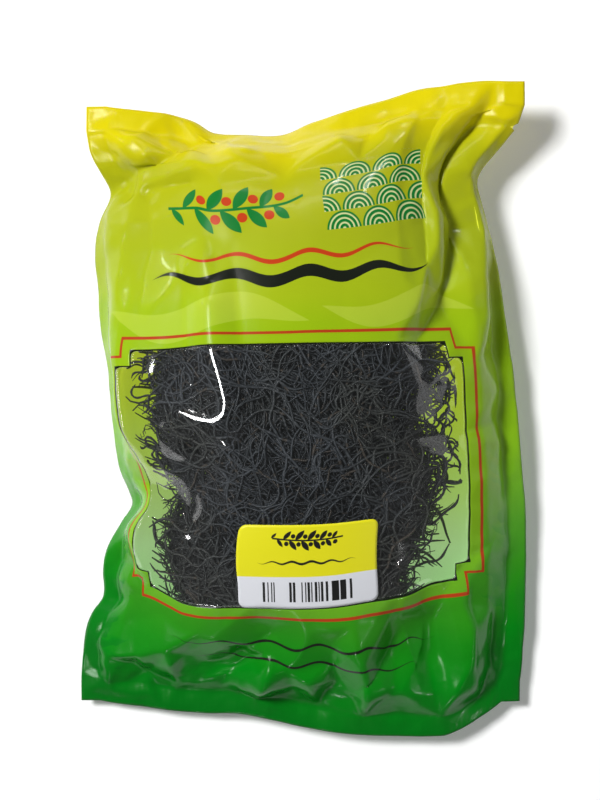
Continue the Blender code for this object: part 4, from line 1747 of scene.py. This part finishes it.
    def _wander(self, rng: np.random.Generator, u: Array, v: Array, heading: Array, length: Array,
                knots: int, kind: StrandKind, root: int | None = None) -> tuple[Array, Array, Array]:
        """Strands' paths: each bends mostly one way, with curls of its own.

        Args:
            rng: Gives the draws.
            u: A place of each strand.
            v: Its v.
            heading: Each strand's heading there.
            length: Each strand's length.
            knots: How many knots a path has.
            kind: The batch, which says how they bend and curl.
            root: Which knot is at that place; the middle one where it is None.

        Returns:
            The knots' u and v, and their headings.
        """
        count = len(u)
        root = knots // 2 if root is None else root
        t = np.linspace(0, 1, knots) - root / (knots - 1)
        bend = rng.normal(0, kind.bend, count)[:, None]
        bend += kind.least_bend * np.sign(bend)
        curl = rng.uniform(*kind.curl, count)[:, None]
        rate = rng.uniform(6, 17, count)[:, None]
        phase = rng.uniform(0, 2 * math.pi, count)[:, None]
        angle = heading[:, None] + bend * t + curl * np.sin(rate * t + phase)
        step = (length / (knots - 1))[:, None]
        du, dv = np.cumsum(np.cos(angle) * step, axis=1), np.cumsum(np.sin(angle) * step, axis=1)
        u, v = u[:, None] + du - du[:, root:root + 1], v[:, None] + dv - dv[:, root:root + 1]
        v = np.clip(v, self.low, self.high)
        return np.clip(u, -self.reach, self.reach), v, angle

    def _stray_strands(self, rng: np.random.Generator, weed: bpy.types.Material) -> bpy.types.Object:
        """The strands that reach into the clear sides of the window, alone and in small clumps.

        Args:
            rng: Gives the draws.
            weed: The finish.

        Returns:
            The piece.
        """
        knots = 13
        us, vs, radii = [], [], []
        t = np.linspace(0, 1, knots)
        for stray in self.strays:
            angle = np.radians(stray.heading + stray.turn * t) + 0.35 * np.sin(9 * t + stray.u)
            us.append(stray.u + np.cumsum(np.cos(angle)) * stray.length / knots)
            vs.append(stray.v + np.cumsum(np.sin(angle)) * stray.length / knots)
            radii.append(stray.radius)
        for clump in self.clumps:
            for _ in range(clump.count):
                draw = rng.normal(0, 1, 4)
                angle = draw[0] * 3 + t * draw[1] * 3.5 + 0.6 * np.sin(8 * t + 5 * draw[2])
                length = rng.uniform(7, 19)
                u0, v0 = clump.u + draw[2] * clump.spread * 0.4, clump.v + draw[3] * clump.spread * 0.6
                us.append(u0 + np.cumsum(np.cos(angle)) * length / knots)
                vs.append(v0 + np.cumsum(np.sin(angle)) * length / knots)
                radii.append(rng.uniform(0.25, 0.5))
        limit = self.reach - 1
        u, v, radius = np.clip(np.array(us), -limit, limit), np.array(vs), np.array(radii)
        depth = rng.uniform(1.2, 6.0, len(u))[:, None] + np.sin(5 * t + u[:, :1])
        tone = np.full(u.shape, 0.25)
        path = self._lay(u, v, np.maximum(depth, 1.1))
        return self._tubes("weed_stray_strands", [(path, radius, tone)], rng, weed, 4)

    def _tubes(self, name: str, batches: list[tuple[Array, Array, Array]], rng: np.random.Generator,
               weed: bpy.types.Material, sides: int) -> bpy.types.Object:
        """Tubes along paths, slim at both ends, as one piece.

        Args:
            name: The piece's name.
            batches: Paths by strand and knot, each strand's radius, and each knot's tone with its painted
                light and shade, 0 dark to 1 pale.
            rng: Gives the strands' lumps.
            weed: The finish.
            sides: How many sides a tube has.

        Returns:
            The piece.
        """
        points, faces, uvs, used = [], [], [], 0
        for paths, radius, tone in batches:
            count, knots = paths.shape[:2]
            t = np.linspace(0, 1, knots)
            taper = np.minimum(1, 0.42 + 3.2 * np.minimum(t, 1 - t))
            lumps = 1 + 0.16 * np.sin(t * 23 + rng.uniform(0, 6.3, count)[:, None])
            run = unit(np.gradient(paths, axis=1), 1e-9)
            up = unit(np.array((0.0, 0.0, 1.0)) - run * run[..., 2:], CLOSE)
            across = np.cross(run, up)
            size = (radius[:, None] * taper * lumps)[..., None, None]
            turns = np.arange(sides) * 2 * math.pi / sides
            ring = up[:, :, None] * np.cos(turns)[:, None] + across[:, :, None] * np.sin(turns)[:, None]
            points.append((paths[:, :, None] + ring * size).reshape(-1, 3))
            number = used + np.arange(count * knots * sides).reshape(count, knots, sides)
            used += number.size
            after = np.roll(number, -1, axis=2)
            quads = np.stack((number[:, :-1], after[:, :-1], after[:, 1:], number[:, 1:]), axis=-1)
            faces += [quads.reshape(-1, 4), number[:, 0, ::-1], number[:, -1]]
            shade = np.broadcast_to(tone[..., None], number.shape)
            place = np.broadcast_to(t[None, :, None], number.shape)
            uvs.append(np.stack((shade.ravel(), place.ravel()), axis=-1))
        return new_mesh(name, np.concatenate(points), faces, np.concatenate(uvs), weed)


class Use(Enum):
    """What a lamp is for: to light the packet, or to be mirrored by its glossy film."""

    LIGHT = "light"
    MIRROR = "mirror"


@dataclass(frozen=True)
class Lamp:
    """A rectangular area lamp.

    It has its place and size in metres, its power in watts, its use and the place that it faces.
    """

    name: str
    place: tuple[float, float, float]
    size: tuple[float, float]
    power: float
    use: Use
    target: tuple[float, float, float] = (0.0, 0.0, 0.03)

    def hang(self) -> None:
        """Adds the lamp to the scene."""
        data = bpy.data.lights.new(self.name, "AREA")
        data.shape = "RECTANGLE"
        data.size, data.size_y = self.size
        data.energy = self.power
        lamp = bpy.data.objects.new(self.name, data)
        lamp.location = self.place
        lamp.visible_diffuse = self.use is Use.LIGHT
        lamp.visible_glossy = self.use is Use.MIRROR
        lamp.rotation_euler = (Vector(self.target) - Vector(self.place)).to_track_quat("-Z", "Y").to_euler()
        bpy.context.scene.collection.objects.link(lamp)


@dataclass
class Studio:
    """The pale floor, the soft lights and the camera over the packet."""

    aim: tuple[float, float] = (-1.32, 4.25)
    camera_height: float = 700.0
    view_height: float = 280.0
    view_level: float = 30.0
    floor_half: float = 2.5
    floor_level: float = -0.05
    surround: float = 0.14
    overhead: float = 0.05
    lamps: tuple[Lamp, ...] = (
        Lamp("key_softbox", (-1.00, 0.60, 1.60), (0.45, 0.45), 42.0, Use.LIGHT),
        Lamp("fill_softbox", (1.10, -0.30, 1.00), (0.8, 0.8), 3.1, Use.LIGHT),
        Lamp("left_tube", (-0.37, 0.25, 0.74), (0.26, 0.10), 1.7, Use.MIRROR, (0.0, 0.25, 0.03)),
        Lamp("elbow_tube", (-0.49, -0.02, 0.74), (0.28, 0.18), 3.1, Use.MIRROR, (0.0, -0.02, 0.03)),
        Lamp("head_tube", (-0.08, 0.62, 0.64), (0.5, 0.04), 0.5, Use.MIRROR),
        Lamp("right_wall", (1.2, 0.10, 0.5), (0.5, 0.4), 0.4, Use.MIRROR),
        Lamp("head_glint", (0.35, 0.61, 0.55), (0.03, 0.03), 0.18, Use.MIRROR),
        Lamp("top_glint", (0.18, 0.69, 0.55), (0.03, 0.03), 0.22, Use.MIRROR),
        Lamp("left_glint", (-0.72, 0.42, 0.34), (0.03, 0.03), 0.18, Use.MIRROR),
        Lamp("foot_glint", (-0.22, -0.81, 0.34), (0.03, 0.03), 0.25, Use.MIRROR),
        Lamp("right_glint", (0.50, -0.50, 0.55), (0.03, 0.03), 0.22, Use.MIRROR))

    def build(self) -> None:
        """Sets the whole studio up."""
        self._camera()
        self._floor()
        self._world()
        for lamp in self.lamps:
            lamp.hang()

    def _camera(self) -> None:
        """The camera, which looks straight down on the packet's face."""
        data = bpy.data.cameras.new("camera")
        data.sensor_fit = "VERTICAL"
        data.angle_y = 2 * math.atan(self.view_height / 2 / (self.camera_height - self.view_level))
        data.clip_start = 0.01
        camera = bpy.data.objects.new("camera", data)
        camera.location = (self.aim[0] * MM, self.aim[1] * MM, self.camera_height * MM)
        bpy.context.scene.collection.objects.link(camera)
        bpy.context.scene.camera = camera

    def _floor(self) -> None:
        """The floor, just under the packet."""
        uvs = np.array([(0, 0), (1, 0), (1, 1), (0, 1)], float)
        plan = (2 * uvs - 1) * self.floor_half / MM
        corners = np.insert(plan, 2, self.floor_level, axis=1)
        finish = PaleFloor().material("pale_floor")
        floor = new_mesh("floor", corners, [np.array([(0, 1, 2, 3)])], uvs, finish)

    def _world(self) -> None:
        """A surround that is pale round the sides and dim overhead."""
        net = Net(bpy.data.worlds.new("surround"))
        way = net.node("ShaderNodeTexCoord").outputs["Generated"]
        rise = Value(net, net.node("ShaderNodeSeparateXYZ", None, {0: way}).outputs[2])
        strength = self.overhead + (self.surround - self.overhead) * rise.below(0.72, 0.16)
        ground = net.node("ShaderNodeBackground", None, {"Color": (1.0, 1.0, 1.0), "Strength": strength})
        bpy.context.scene.world = net.done(ground.outputs[0])
        bpy.context.scene.view_settings.view_transform = "Standard"


def main() -> None:
    """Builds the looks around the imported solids, and reports each piece."""
    logging.basicConfig(level=logging.INFO, format="%(name)s: %(message)s")
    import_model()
    Studio().build()
    pouch = Pouch()
    for part in (pouch, PaperLabel(pouch), SeaweedTangle(pouch)):
        for piece in part.build():
            LOG.info("%s: %d faces", piece.name, len(piece.data.polygons))
    bpy.context.view_layer.update()


if __name__ == "__main__":
    main()
